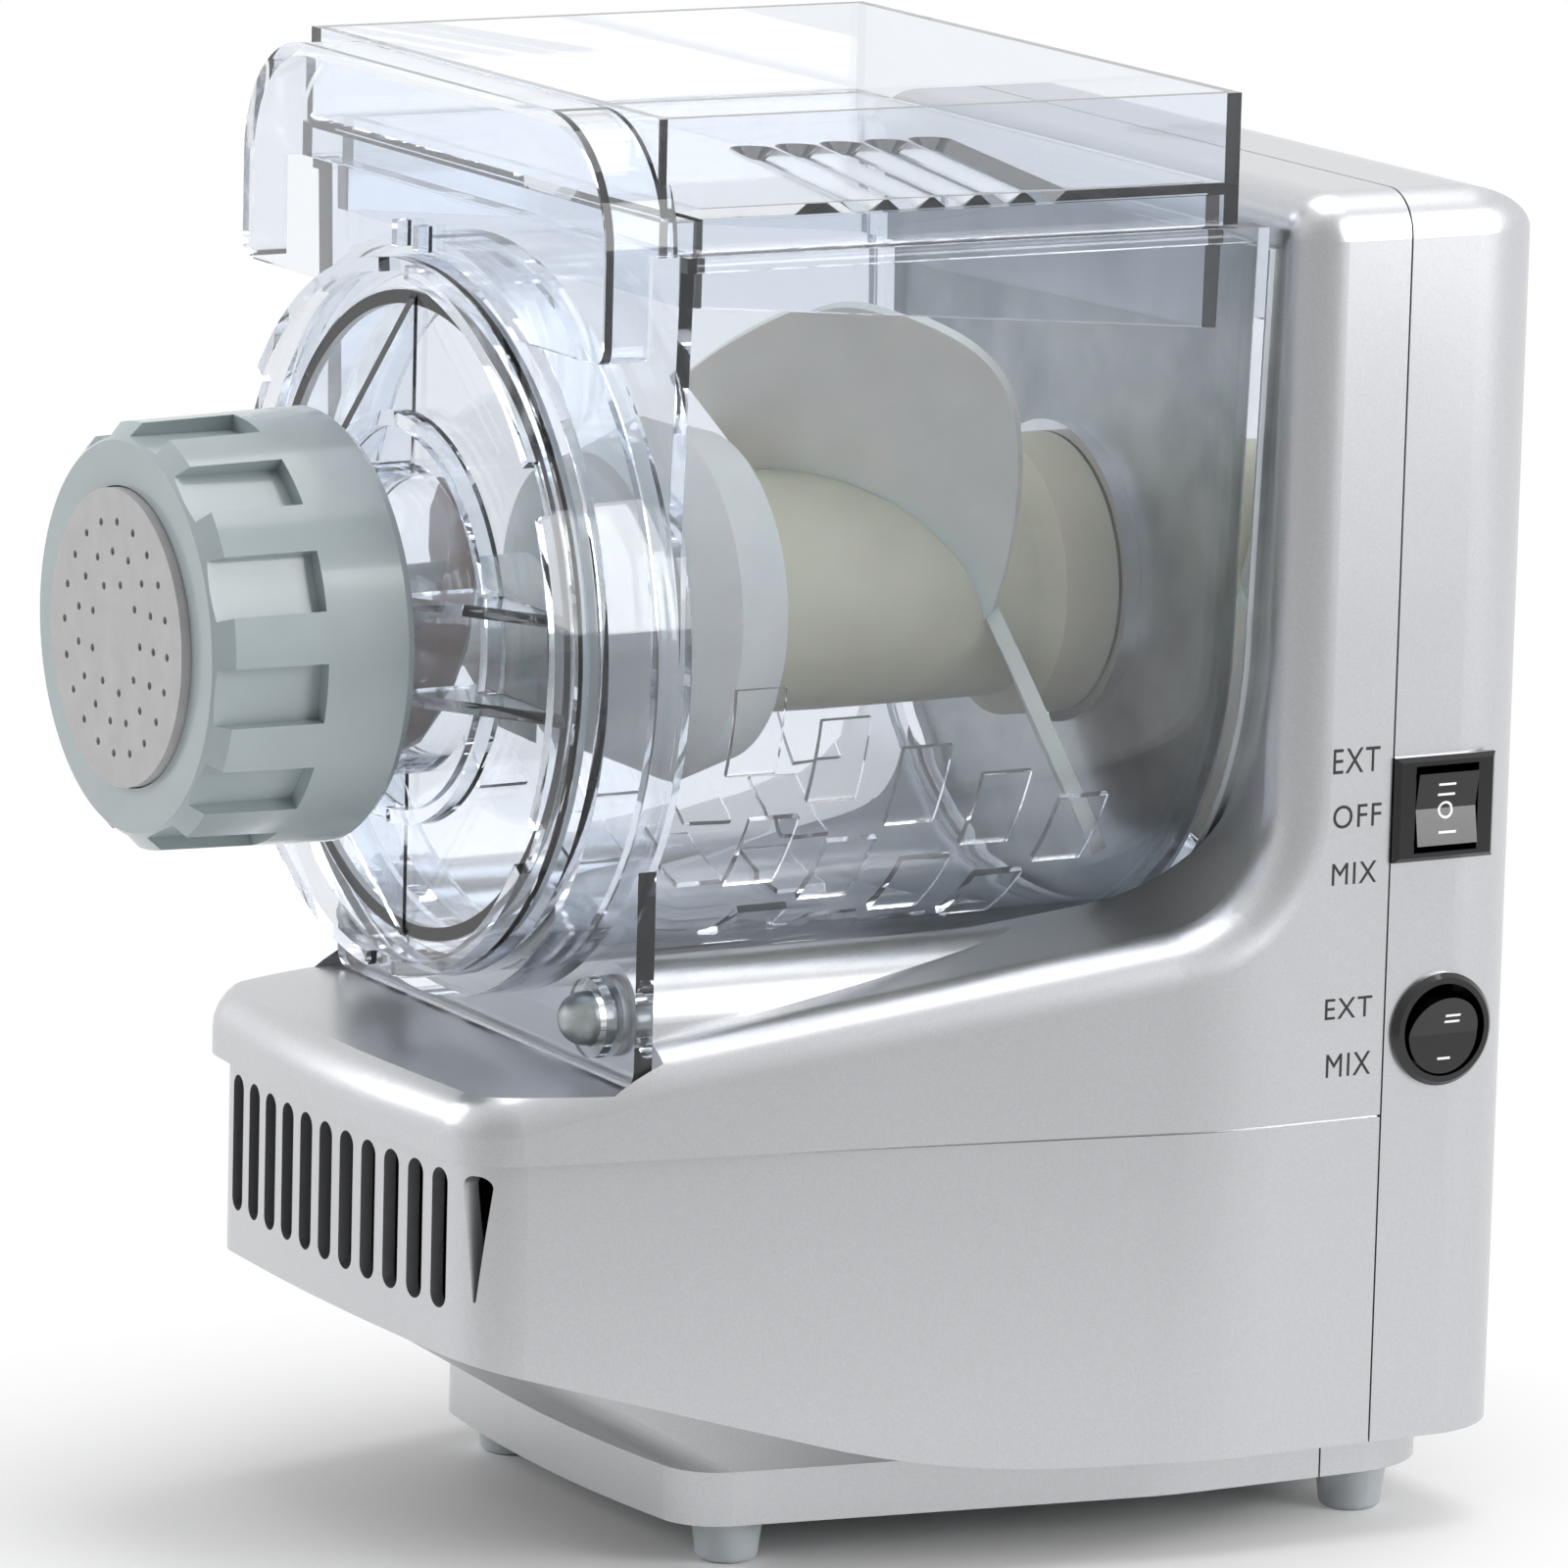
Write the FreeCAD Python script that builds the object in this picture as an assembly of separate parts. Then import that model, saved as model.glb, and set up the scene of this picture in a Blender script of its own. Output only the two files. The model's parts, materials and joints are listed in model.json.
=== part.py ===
import FreeCAD, Part
import math
import os

# Electric pasta maker, in millimetres, +Z up.
# Dough comes out at the front, towards -Y. The switches are on the +X side.
# The origin is on the table, under the middle of the machine.
# A station is a distance measured back along the length from the front face of the die.

V = FreeCAD.Vector

# Overall sizes
machine_length = 276.0
machine_half = 88.0
tower_top = 273.3
axis_height = 185.5
wall = 2.5
parting = 0.4
free_gap = 0.3
running_gap = 0.05

# Feet and plinth
foot_height = 9.0
foot_top_r = 7.25
foot_low_r = 6.15
foot_round = 1.6
front_foot_x = 46.0
front_foot_station = 115.0
rear_foot_x = 62.0
rear_foot_station = machine_length - 25.0
plinth_top = 20.0
plinth_front = 95.5
plinth_front_half = 54.0
plinth_bow = 6.5
plinth_rear_half = 70.0
plinth_rear = machine_length - 5.0
plinth_corner_r = 12.0
plate_thickness = 2.5
foot_screw_r = 1.8
foot_screw_head_r = 3.4
foot_screw_head = 2.2
foot_screw_sink = 4.0
foot_screw_length = 16.0

# Lower body, scooped away under its front
belly_front = 49.0
belly_rear = 20.6
belly_slope = 0.28
belly_curve_r = 200.0
skirt_rise = 1.8
body_front = 46.3
body_front_half = 57.0
body_bow = 5.2
body_corner_r = 14.0
bow_r = 330.0
flare_station = machine_length - 73.0
flare_r = 90.0
rear_corner_r = 22.0
crease = 88.0
crease_gap = 0.5
crease_depth = 0.8

# Deck with its overhanging lip
lip_overhang = 2.8
deck_front_z = 99.5
deck_knee_z = 109.5
deck_knee_station = 88.0
deck_rear_z = 130.0
deck_knee_r = 90.0
edge_round = 9.5

# Tower
tower_front = machine_length - 61.5
tower_edge_r = 9.0
tower_rear_edge_r = 23.0
seam = machine_length - 37.5
cove_r = 26.0

# Vents in the front wall
vent_count = 11
vent_pitch = 8.8
vent_width = 5.5
vent_low = 57.0
vent_high = 85.0
vent_tear_step = 1.1

# Mixing chamber
chamber_r = 71.0
chamber_wall = 3.0
chamber_top_half = 75.0
chamber_top = 266.5
chamber_front = 82.0
plate_depth = 4.0
chamber_rear = machine_length - 64.7
rim_height = 3.0
rim_out = 2.5
rear_flange_depth = 3.0
rear_flange_out = 3.5
plate_half = 63.5
plate_bottom = 101.5
collar_r = 75.5
collar_front = 68.0
envelope_gap = 1.0

# Kneading pads inside the chamber, in diagonal rows
pad_height = 1.2
pad_length = 11.0
pad_angle = 15.0
pad_pitch = 19.6
pad_step_angle = 6.2
pad_row_angle = 24.0
pad_row_shift = 8.0
pad_first_station = 100.0
pad_first_angle = 4.5

# Locating pins and the rails that carry them
pin_x = 47.8
pin_z = 113.0
pin_r = 5.3
pin_tip = 74.0
pin_depth = 34.0
rail_r = 10.6
rail_front = 88.0
boss_r = 8.0
boss_length = 2.0

# Lid
lid_half_front = 73.5
lid_half_rear = 75.0
lid_front = 77.6
lid_rear = machine_length - 70.0
lid_top = 292.8
lid_wall = 2.4
tray_floor = 272.6
tray_thickness = 2.4
skirt_front_low = 256.0
skirt_rear_low = 246.0
skirt_gap = 0.8
flap_front = 64.6
flap_thickness = 2.6
flap_half = 77.0
flap_low = 246.4
flap_corner_r = 25.0
flap_foot_r = 4.0
flap_arch_gap = 2.2
latch_half = 4.5
latch_depth = 3.0
pour_count = 5
pour_pitch = 10.2
pour_width = 3.5
pour_top_width = 9.2
pour_length = 71.0
pour_station = 130.9
pour_x = 34.8
pour_turn = 12.0

# Front cover with the extrusion tube
ring_r = 71.0
ring_wall = 2.8
ring_front = 58.7
ring_rear = 80.0
ring_gap = 0.3
disc_front = 64.0
disc_thickness = 3.0
spigot_r = 67.4
spigot_rear = 90.0
tube_r = 31.0
tube_bore_r = 28.0
tube_front = 9.6
thread_r = 32.7
thread_rear = 30.0
tube_collar_r = 41.0
tube_collar_wall = 3.0
tube_collar_front = 60.0
gusset_thickness = 2.4
gusset_offset = 9.5
gusset_front = 44.0
gusset_out = 66.0
notch_angle = 9.0
notch_depth = 2.4
notch_count = 6
cover_seal_depth = 1.6

# Die and its nut
die_r = 29.2
die_flange_r = 31.8
die_flange_front = 6.6
die_hole_r = 0.8
die_rings = ((10.8, 9), (16.8, 15), (22.8, 20))
die_recess_r = 26.0
die_recess_depth = 5.0
nut_front = 2.0
nut_rear = 44.0
nut_front_r = 41.8
nut_rear_r = 42.8
nut_round = 3.5
nut_lip = 4.3
nut_bore_r = 33.0
pocket_count = 12
pocket_width = 12.0
pocket_depth = 3.0
pocket_rear = 25.0
pocket_first_angle = -7.5

# Paddle, its hub and the extrusion screw
hub_front = 130.3
hub_rear = machine_length - 67.0
hub_r = 24.5
hub_rear_r = 28.6
hub_rear_length = 16.0
hub_flare = 4.0
hub_wall = 3.0
blade_r = 64.5
blade_thickness = 3.2
screw_cup_r = 33.3
screw_cup_front = 92.0
screw_core_r = 11.0
screw_r = 27.2
screw_front = 14.0
screw_turns = 1.75
screw_flight = 3.0
screw_swell = 3.5
waist_x = 24.4
waist_station = machine_length - 94.0
waist_z = -2.5
front_blade_normal = (-0.66, 0.70, 0.25)
rear_blade_normal = (0.37, 0.825, 0.43)

# Drive shaft and what closes round it
shaft_r = 6.0
shaft_front = 96.0
shaft_rear = machine_length - 9.5
seal_r = 9.5
back_plate_front = machine_length - 63.2
back_plate_top = 262.0
hub_ring_r = 31.0
hub_ring_wall = 2.6
hub_ring_front = machine_length - 66.6
seal_width = 2.4

# Gears
output_teeth = 50
output_module = 1.75
output_pinion_teeth = 14
second_teeth = 58
second_module = 1.25
second_pinion_teeth = 14
first_teeth = 66
first_module = 1.0
motor_pinion_teeth = 14
backlash = 0.16
output_gear_front = machine_length - 48.0
output_gear_width = 10.0
second_gear_front = machine_length - 34.0
second_gear_width = 6.5
first_gear_front = machine_length - 24.0
first_gear_width = 5.0
pinion_overlap = 1.0
second_axle_x = 12.0
first_axle_x = -8.0
axle_r = 4.0

# Gearbox plates
gear_plate_front = machine_length - 54.0
gear_plate_rear = machine_length - 14.0
gear_plate_thickness = 2.0
gear_plate_half = 52.0
gear_plate_low = 58.0
gear_plate_high = 232.0
pillar_r = 4.0
gear_plate_corner_r = 8.0
bush_r = 10.0
bush_out = 1.5
post_x = 45.0
post_low_z = axis_height - 43.5
post_high_z = axis_height + 38.5
pillar_low_z = axis_height - 119.5
pillar_high_z = axis_height + 26.5
post_r = 4.5
screw_r_small = 1.5
screw_head_r_small = 3.0
screw_head_small = 2.2

# Motor in the base
motor_shaft_r = 4.0
motor_front = machine_length - 176.0
motor_shaft_rear = machine_length - 17.0
stator_front = machine_length - 152.0
stator_length = 40.0
stator_half = 34.0
stator_half_height = 29.0
stator_bore_r = 22.0
air_gap = 0.6
armature_length = 42.0
commutator_front = machine_length - 98.0
commutator_length = 13.0
commutator_r = 13.0
bracket_thickness = 3.0
front_bracket_station = machine_length - 164.0
rear_bracket_station = machine_length - 80.0
fan_front = machine_length - 174.0
fan_r = 27.0
fan_depth = 8.0
fan_blades = 9
fan_hub_r = 9.0
fan_vane = 1.6
winding_depth = 7.0
winding_start = 25.0
armature_slots = 12
armature_slot_r = 2.0
armature_winding_r = 17.5
brush_half = 3.2
brush_out = 27.0
holder_wall = 1.6
tie_x = 29.0
tie_z = 24.0
tie_r = 1.8
tie_spacer_r = 3.4
bracket_window_x = 19.0
bracket_window_r = 7.0
bearing_r = 9.5
bearing_half = 2.0
saddle_in = 3.0
saddle_depth = 8.0
saddle_half = 30.0

# Electrical pieces
terminal_x = -52.0
terminal_station = machine_length - 50.0
terminal_width = 30.0
terminal_depth = 11.0
terminal_height = 12.0
terminal_ways = 3
capacitor_x = 22.0
capacitor_station = machine_length - 56.0
capacitor_width = 26.0
capacitor_depth = 11.0
capacitor_height = 19.0

# Switches
switch_station = machine_length - 25.8
switch_width = 23.3
switch_centre_z = 149.8
switch_height = 21.2
switch_bezel = 1.8
switch_depth = 17.0
rocker_width = 14.0
rocker_height = 14.6
rocker_gap = 0.35
rocker_out = 2.6
rocker_pivot_in = 5.0
rocker_swing = 1.5
rocker_well = 12.0
rocker_root = 2.5
rocker_taper = 2.5
rocker_valley = 1.2
rocker_pin_r = 1.6
switch_lip = 1.4
round_station = machine_length - 24.3
round_z = 104.5
round_r = 11.5
round_rocker_r = 8.0
round_swing = 1.4
round_tilt = 8.0

# Cord inlet at the back
gland_x = -40.0
gland_z = 40.0
gland_bore_r = 3.6
gland_r = 8.0
gland_out = 1.5
gland_in = 9.0


def at(station):
    return station - machine_length / 2


# Basic solids

def box(x0, x1, s0, s1, z0, z1):
    return Part.makeBox(x1 - x0, s1 - s0, z1 - z0, V(x0, at(s0), z0))


def rod(radius, s0, s1, x=0.0, z=axis_height):
    return Part.makeCylinder(radius, s1 - s0, V(x, at(s0), z), V(0, 1, 0))


def pipe(outer, inner, s0, s1, x=0.0, z=axis_height):
    return rod(outer, s0, s1, x, z).cut(rod(inner, s0 - 1, s1 + 1, x, z))


def turned(profile, x=0.0, z=axis_height):
    # A profile of (radius, station) points, turned round an axis along the length.
    points = [V(x + r, at(s), z) for r, s in profile]
    face = Part.Face(Part.makePolygon(points + [points[0]]))
    return face.revolve(V(x, 0, z), V(0, 1, 0), 360)


def fuse(shapes):
    first = shapes[0]
    if len(shapes) == 1:
        return first
    return first.fuse(shapes[1:]).removeSplitter()


def mirrored(shape):
    return shape.mirror(V(0, 0, 0), V(1, 0, 0))


def both_sides(shape):
    return [shape, mirrored(shape)]


def save(name, shapes):
    if not isinstance(shapes, list):
        shapes = [shapes]
    solids = [solid for shape in shapes for solid in shape.Solids]
    whole = solids[0] if len(solids) == 1 else Part.makeCompound(solids)
    whole.exportStep("parts/" + name + ".step")
    volume = sum(solid.Volume for solid in solids) / 1000
    good = all(solid.isValid() for solid in solids)
    print(name, len(solids), "solid(s)", round(volume, 2), "cm3", "valid" if good else "BAD")


# Outlines with rounded corners

def corner(before, here, after, radius):
    # The start, middle and end of the arc that rounds one corner.
    to_before = V(before[0] - here[0], before[1] - here[1], 0).normalize()
    to_after = V(after[0] - here[0], after[1] - here[1], 0).normalize()
    half = to_before.getAngle(to_after) / 2
    if radius <= 0 or half > math.pi / 2 - 1e-4:
        return None
    point = V(here[0], here[1], 0)
    reach = radius / math.tan(half)
    middle = (to_before + to_after).normalize() * (radius / math.sin(half) - radius)
    return point + to_before * reach, point + middle, point + to_after * reach


def outline(points, radii, lift):
    count = len(points)
    corners = []
    for i in range(count):
        corners.append(corner(points[i - 1], points[i], points[(i + 1) % count], radii[i]))
    edges = []
    for i in range(count):
        here = corners[i]
        follow = corners[(i + 1) % count]
        start = V(points[i][0], points[i][1], 0)
        end = V(points[(i + 1) % count][0], points[(i + 1) % count][1], 0)
        if here:
            edges.append(Part.Arc(*[lift(p.x, p.y) for p in here]).toShape())
            start = here[2]
        if follow:
            end = follow[0]
        if start.distanceToPoint(end) > 1e-6:
            edges.append(Part.makeLine(lift(start.x, start.y), lift(end.x, end.y)))
    return Part.Wire(edges)


def prism_z(points, radii, z0, z1):
    wire = outline(points, radii, lambda x, s: V(x, at(s), z0))
    return Part.Face(wire).extrude(V(0, 0, z1 - z0))


def prism_y(points, radii, s0, s1):
    wire = outline(points, radii, lambda x, z: V(x, at(s0), z))
    return Part.Face(wire).extrude(V(0, s1 - s0, 0))


def prism_x(points, radii, x0, x1):
    wire = outline(points, radii, lambda s, z: V(x0, at(s), z))
    return Part.Face(wire).extrude(V(x1 - x0, 0, 0))


def both_halves(right):
    # Completes the right half of an outline, listed from the front centre to the rear.
    left = [(-x, s) for x, s in reversed(right) if x > 0]
    return right + left


# Base and tower, solid or shrunk by the wall to give the hollow

def base_outline(front, front_half, bow, rear_half, rear, inset):
    right = [
        (0, front + inset),
        (front_half - inset, front + bow + inset),
        (rear_half - inset, flare_station),
        (rear_half - inset, rear - inset),
    ]
    return both_halves(right)


def base_radii(front_r, inset):
    side = [front_r - inset, flare_r, rear_corner_r - inset]
    return [bow_r] + side + list(reversed(side))


def body_outline(inset):
    return base_outline(body_front, body_front_half, body_bow, machine_half,
                        machine_length, inset)


def plinth_outline(inset):
    return base_outline(plinth_front, plinth_front_half, plinth_bow, plinth_rear_half,
                        plinth_rear, inset)


def lip_outline(inset):
    return base_outline(body_front - lip_overhang, body_front_half + lip_overhang,
                        body_bow, machine_half, machine_length, inset)


def lower_body(inset):
    # Upright walls down to a curved belly line, and a skirt that slopes in to the plinth.
    blank = prism_z(body_outline(inset), base_radii(body_corner_r, inset), 0, crease + inset)
    front = body_front - 1
    rear = machine_length + 1
    tilt = (belly_front - belly_rear) / (machine_length - body_front)
    plane = [(front, 0), (rear, 0), (rear, belly_rear + skirt_rise - tilt + inset),
             (front, belly_front + skirt_rise + tilt + inset)]
    cut_flat = blank.cut(prism_x(plane, [0] * 4, -machine_half - 1, machine_half + 1))
    belly = min(cut_flat.Faces, key=lambda face: face.CenterOfMass.z)
    foot = outline(plinth_outline(inset), base_radii(plinth_corner_r, inset),
                   lambda x, s: V(x, at(s), plinth_top + inset * 0.5))
    skirt = Part.makeLoft([foot, belly.OuterWire], True, True)
    knee = body_front + (belly_front - belly_rear) / belly_slope
    curve = [(front, 0), (rear, 0), (rear, belly_rear + inset), (knee, belly_rear + inset),
             (front, belly_front + belly_slope + inset)]
    body = blank.cut(prism_x(curve, [0, 0, 0, belly_curve_r, 0], -machine_half - 1,
                             machine_half + 1))
    drop = 0 if inset == 0 else foot_height
    plinth = prism_z(plinth_outline(inset), base_radii(plinth_corner_r, inset),
                     foot_height - drop, plinth_top + inset * 0.5)
    return fuse([body, skirt, plinth])


def deck(inset):
    # The deck rises to the tower and runs up its front in a hollow curve. One rounding
    # follows its outer edge from the lip to the tower's upright corners.
    lip_front = body_front - lip_overhang
    high = deck_rear_z + cove_r + 2 * edge_round
    behind = tower_front + 2 * edge_round
    blank = prism_z(lip_outline(inset), base_radii(body_corner_r, inset), crease + inset, high)
    profile = [
        (lip_front - 1, crease + inset),
        (lip_front - 1, deck_front_z - inset),
        (deck_knee_station, deck_knee_z - inset),
        (tower_front + inset, deck_rear_z - inset),
        (tower_front + inset, high),
        (behind, high),
        (behind, crease + inset),
    ]
    radii = [0, 0, deck_knee_r, cove_r + inset, 0, 0, 0]
    shape = blank.common(prism_x(profile, radii, -machine_half - 1, machine_half + 1))
    return round_outer_edge(shape, tower_front + inset, high, edge_round - inset)


def round_outer_edge(shape, corner_station, high, radius):
    # The edge round the deck's top and up the tower's front corners.
    chosen = []
    for edge in shape.Edges:
        around = edge.BoundBox
        capped = around.ZMin > high - 1
        low = around.ZMin < crease + 4
        behind = around.YMax > at(corner_station) + 1
        crossing = around.YLength < 1 and around.ZLength < 1 and around.XMin < 0 < around.XMax
        ahead = around.YMin > at(body_front + lip_overhang)
        if not (capped or low or behind or (crossing and ahead)):
            chosen.append(edge)
    return shape.makeFillet(radius, chosen)


def tower(inset):
    half = machine_half - inset
    front = tower_front + inset
    rear = machine_length - inset
    points = [(-half, front), (half, front), (half, rear), (-half, rear)]
    front_r = edge_round - inset
    back_r = rear_corner_r - inset
    blank = prism_z(points, [front_r, front_r, back_r, back_r], crease + inset,
                    tower_top - inset)
    top = tower_top - inset
    rim = [e for e in blank.Edges if abs(e.BoundBox.ZMin - top) < 1e-3]
    blank = blank.makeFillet(tower_edge_r - inset, rim)
    side = [(front - 1, 0), (rear, 0), (rear, top), (front - 1, top)]
    shoulder = prism_x(side, [0, 0, tower_rear_edge_r - inset, 0], -half - 1, half + 1)
    return blank.common(shoulder)


def chamber_envelope(grow):
    # The space that the chamber sweeps as it slides forward off its pins.
    reach = chamber_r + rear_flange_out + envelope_gap + grow
    low = rod(reach, 0, tower_front + grow)
    above = box(-reach, reach, 0, tower_front + grow, axis_height, chamber_top)
    side = plate_half + envelope_gap + grow
    plate = box(-side, side, 0, rail_front + grow, plate_bottom - envelope_gap / 2 - grow,
                axis_height)
    return fuse([low, above, plate])


def rail(x):
    top = rod(rail_r, rail_front, tower_front + 2, x, pin_z)
    side = box(x - rail_r, x + rail_r, rail_front, tower_front + 2, deck_front_z, pin_z)
    return top.fuse(side)


def vents():
    half = vent_width / 2
    cutters = []
    first = -(vent_count - 1) / 2 * vent_pitch
    for i in range(vent_count):
        x = first + i * vent_pitch
        points = [(x - half, vent_low), (x + half, vent_low),
                  (x + half, vent_high), (x - half, vent_high)]
        cutters.append(prism_y(points, [half - 0.01] * 4, body_front - 10, body_front + 12))
    x = first - vent_pitch * vent_tear_step
    drop = [(x, vent_low), (x + half, vent_high), (x - half, vent_high)]
    tear = prism_y(drop, [0.3, half * 0.8, half * 0.8], body_front - 10, body_front + 30)
    return cutters + both_sides(tear)


def crease_groove():
    low = crease - crease_gap
    around = prism_z(body_outline(-1), base_radii(body_corner_r, -1), low, crease)
    core = prism_z(body_outline(crease_depth), base_radii(body_corner_r, crease_depth),
                   low, crease)
    before_seam = box(-machine_half - 1, machine_half + 1, 0, seam, low, crease)
    return around.cut(core).common(before_seam)


def housing():
    outer = fuse([lower_body(0), deck(0), tower(0)])
    outer = outer.fuse([rail(pin_x), rail(-pin_x)]).removeSplitter()
    hollow = fuse([lower_body(wall), deck(wall), tower(wall)]).cut(chamber_envelope(wall))
    shell = outer.cut(chamber_envelope(0)).cut(hollow)
    shell = shell.cut(vents()).cut(crease_groove())
    for x in (-pin_x, pin_x):
        shell = shell.cut(rod(pin_r + running_gap, 0, rail_front + pin_depth, x, pin_z))
    return shell


def base_plate():
    points = plinth_outline(wall + free_gap)
    radii = base_radii(plinth_corner_r, wall + free_gap)
    plate = prism_z(points, radii, foot_height, foot_height + plate_thickness)
    return plate.cut(screw_holes())


def foot_places():
    places = []
    for side in (-1, 1):
        places.append((side * front_foot_x, front_foot_station))
        places.append((side * rear_foot_x, rear_foot_station))
    return places


def screw_holes():
    holes = []
    for x, s in foot_places():
        holes.append(Part.makeCylinder(foot_screw_r + free_gap / 2, plate_thickness + 2,
                                       V(x, at(s), foot_height - 1)))
    return holes


def feet():
    shapes = []
    for x, s in foot_places():
        cone = Part.makeCone(foot_low_r, foot_top_r, foot_height, V(x, at(s), 0))
        low = [e for e in cone.Edges if e.BoundBox.ZMax < 0.1]
        cone = cone.makeFillet(foot_round, low)
        hole = Part.makeCylinder(foot_screw_r + free_gap / 2, foot_height,
                                 V(x, at(s), foot_screw_sink))
        sink = Part.makeCylinder(foot_screw_head_r + free_gap, foot_screw_sink,
                                 V(x, at(s), 0))
        shapes.append(cone.cut([hole, sink]))
    return shapes


def foot_screws():
    shapes = []
    for x, s in foot_places():
        head = Part.makeCylinder(foot_screw_head_r, foot_screw_head, V(x, at(s), foot_screw_sink
                                                                       - foot_screw_head))
        shank = Part.makeCylinder(foot_screw_r, foot_screw_length, V(x, at(s), foot_screw_sink))
        shapes.append(head.fuse(shank).removeSplitter())
    return shapes


# Mixing chamber

def chamber_section(grow):
    # Half-round bottom and slightly spreading sides, seen from the front.
    r = chamber_r + grow
    top_half = chamber_top_half + grow
    lift = lambda x, z, s: V(x, at(s), z)
    return r, top_half, lift


def chamber_block(grow, s0, s1, top):
    r, top_half, lift = chamber_section(grow)
    bottom = axis_height - r
    edges = [
        Part.Arc(lift(r, axis_height, s0), lift(0, bottom, s0),
                 lift(-r, axis_height, s0)).toShape(),
        Part.makeLine(lift(-r, axis_height, s0), lift(-top_half, top, s0)),
        Part.makeLine(lift(-top_half, top, s0), lift(top_half, top, s0)),
        Part.makeLine(lift(top_half, top, s0), lift(r, axis_height, s0)),
    ]
    return Part.Face(Part.Wire(edges)).extrude(V(0, s1 - s0, 0))


def sector(inner, outer, s0, s1, start, sweep):
    # Part of a ring round the axis. Angles run from +X towards the table.
    face = Part.Face(Part.makePolygon([V(inner, at(s0), 0), V(outer, at(s0), 0),
                                       V(outer, at(s1), 0), V(inner, at(s1), 0),
                                       V(inner, at(s0), 0)]))
    piece = face.revolve(V(0, 0, 0), V(0, 1, 0), sweep)
    piece.rotate(V(0, 0, 0), V(0, 1, 0), start)
    piece.translate(V(0, 0, axis_height))
    return piece


def pad(station, angle):
    # One raised pad on the inside of the round bottom.
    return sector(chamber_r - chamber_wall - pad_height, chamber_r - chamber_wall / 2,
                  station, station + pad_length, angle, pad_angle)


def mixing_chamber():
    block = chamber_block(0, chamber_front, chamber_rear, chamber_top)
    low = axis_height
    plate_points = [(-plate_half, plate_bottom), (plate_half, plate_bottom),
                    (plate_half, low), (-plate_half, low)]
    plate = prism_y(plate_points, [4, 4, 0, 0], chamber_front, chamber_front + plate_depth)
    flange = chamber_block(rear_flange_out, chamber_rear - rear_flange_depth, chamber_rear,
                           chamber_top)
    rim = box(-chamber_top_half - rim_out, chamber_top_half + rim_out, chamber_front,
              chamber_rear, chamber_top - rim_height, chamber_top)
    collar = rod(collar_r, collar_front, chamber_front + plate_depth)
    bosses = [rod(boss_r, chamber_front - boss_length, chamber_front + plate_depth, x, pin_z)
              for x in (-pin_x, pin_x)]
    solid = fuse([block, plate, flange, rim, collar] + bosses)
    inside = chamber_block(-chamber_wall, chamber_front + plate_depth, chamber_rear + 1,
                           chamber_top + 1)
    mouth = rod(spigot_r + free_gap, 0, chamber_front + plate_depth + 1)
    socket = rod(ring_r + ring_gap, 0, ring_rear + free_gap)
    solid = solid.cut([inside, mouth, socket])
    for x in (-pin_x, pin_x):
        solid = solid.cut(rod(pin_r + free_gap, 0, rail_front, x, pin_z))
    pads = []
    for row in range(3):
        for i in range(5 - row):
            station = pad_first_station + i * pad_pitch + row * pad_row_shift
            angle = pad_first_angle + i * pad_step_angle + row * pad_row_angle
            pads += both_sides(pad(station, angle))
    return fuse([solid] + pads)


# Lid

def lid_block(s0, s1, grow, z0, z1):
    # The lid tapers slightly wider towards the rear.
    slope = (lid_half_rear - lid_half_front) / (lid_rear - lid_front)
    h0 = lid_half_front + slope * (s0 - lid_front) - grow
    h1 = lid_half_front + slope * (s1 - lid_front) - grow
    return prism_z([(-h0, s0), (h0, s0), (h1, s1), (-h1, s1)], [0] * 4, z0, z1)


def lid_flap():
    low = flap_low
    high = lid_top - free_gap
    points = [(-flap_half, low), (flap_half, low), (flap_half, high), (-flap_half, high)]
    radii = [flap_foot_r, flap_foot_r, flap_corner_r, flap_corner_r]
    plate = prism_y(points, radii, flap_front, flap_front + flap_thickness)
    shell = prism_y(points, radii, flap_front, lid_front + lid_wall)
    inset = flap_thickness
    inner_points = [(-flap_half + inset, low - 20), (flap_half - inset, low - 20),
                    (flap_half - inset, high - inset), (-flap_half + inset, high - inset)]
    core = prism_y(inner_points, [0, 0, flap_corner_r - inset, flap_corner_r - inset],
                   flap_front, lid_front + lid_wall + 1)
    below = box(-200, 200, lid_front - rim_out - free_gap, lid_rear, 0, chamber_top + free_gap)
    skin = shell.cut([core, below])
    arch = rod(ring_r + flap_arch_gap, flap_front - 5, lid_front + 5)
    latches = []
    for x in (-latch_half, latch_half):
        reach = axis_height + ring_r + flap_arch_gap
        latches.append(box(x - 1.2, x + 1.2, flap_front - latch_depth, flap_front + 1,
                           reach - 1, reach + 5))
    return fuse([plate, skin]).cut(arch).fuse([block.cut(arch) for block in latches])


def pour_slots():
    # Slanting troughs side by side in the tray's floor, each open along its bottom.
    low = pour_width / 2
    high = pour_top_width / 2
    top = tray_floor + tray_thickness
    shapes = []
    for i in range(pour_count):
        trough = prism_y([(-low, tray_floor), (low, tray_floor), (high, top), (-high, top)],
                         [0] * 4, -pour_length / 2, pour_length / 2)
        trough.translate(V(0, -at(0), 0))
        end = Part.makeCone(low, high, tray_thickness, V(0, pour_length / 2, tray_floor))
        trough = trough.fuse(end)
        trough.rotate(V(0, 0, 0), V(0, 0, 1), 90 - pour_turn)
        trough.translate(V(pour_x, at(pour_station + i * pour_pitch), 0))
        shapes.append(trough)
    return shapes


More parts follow.
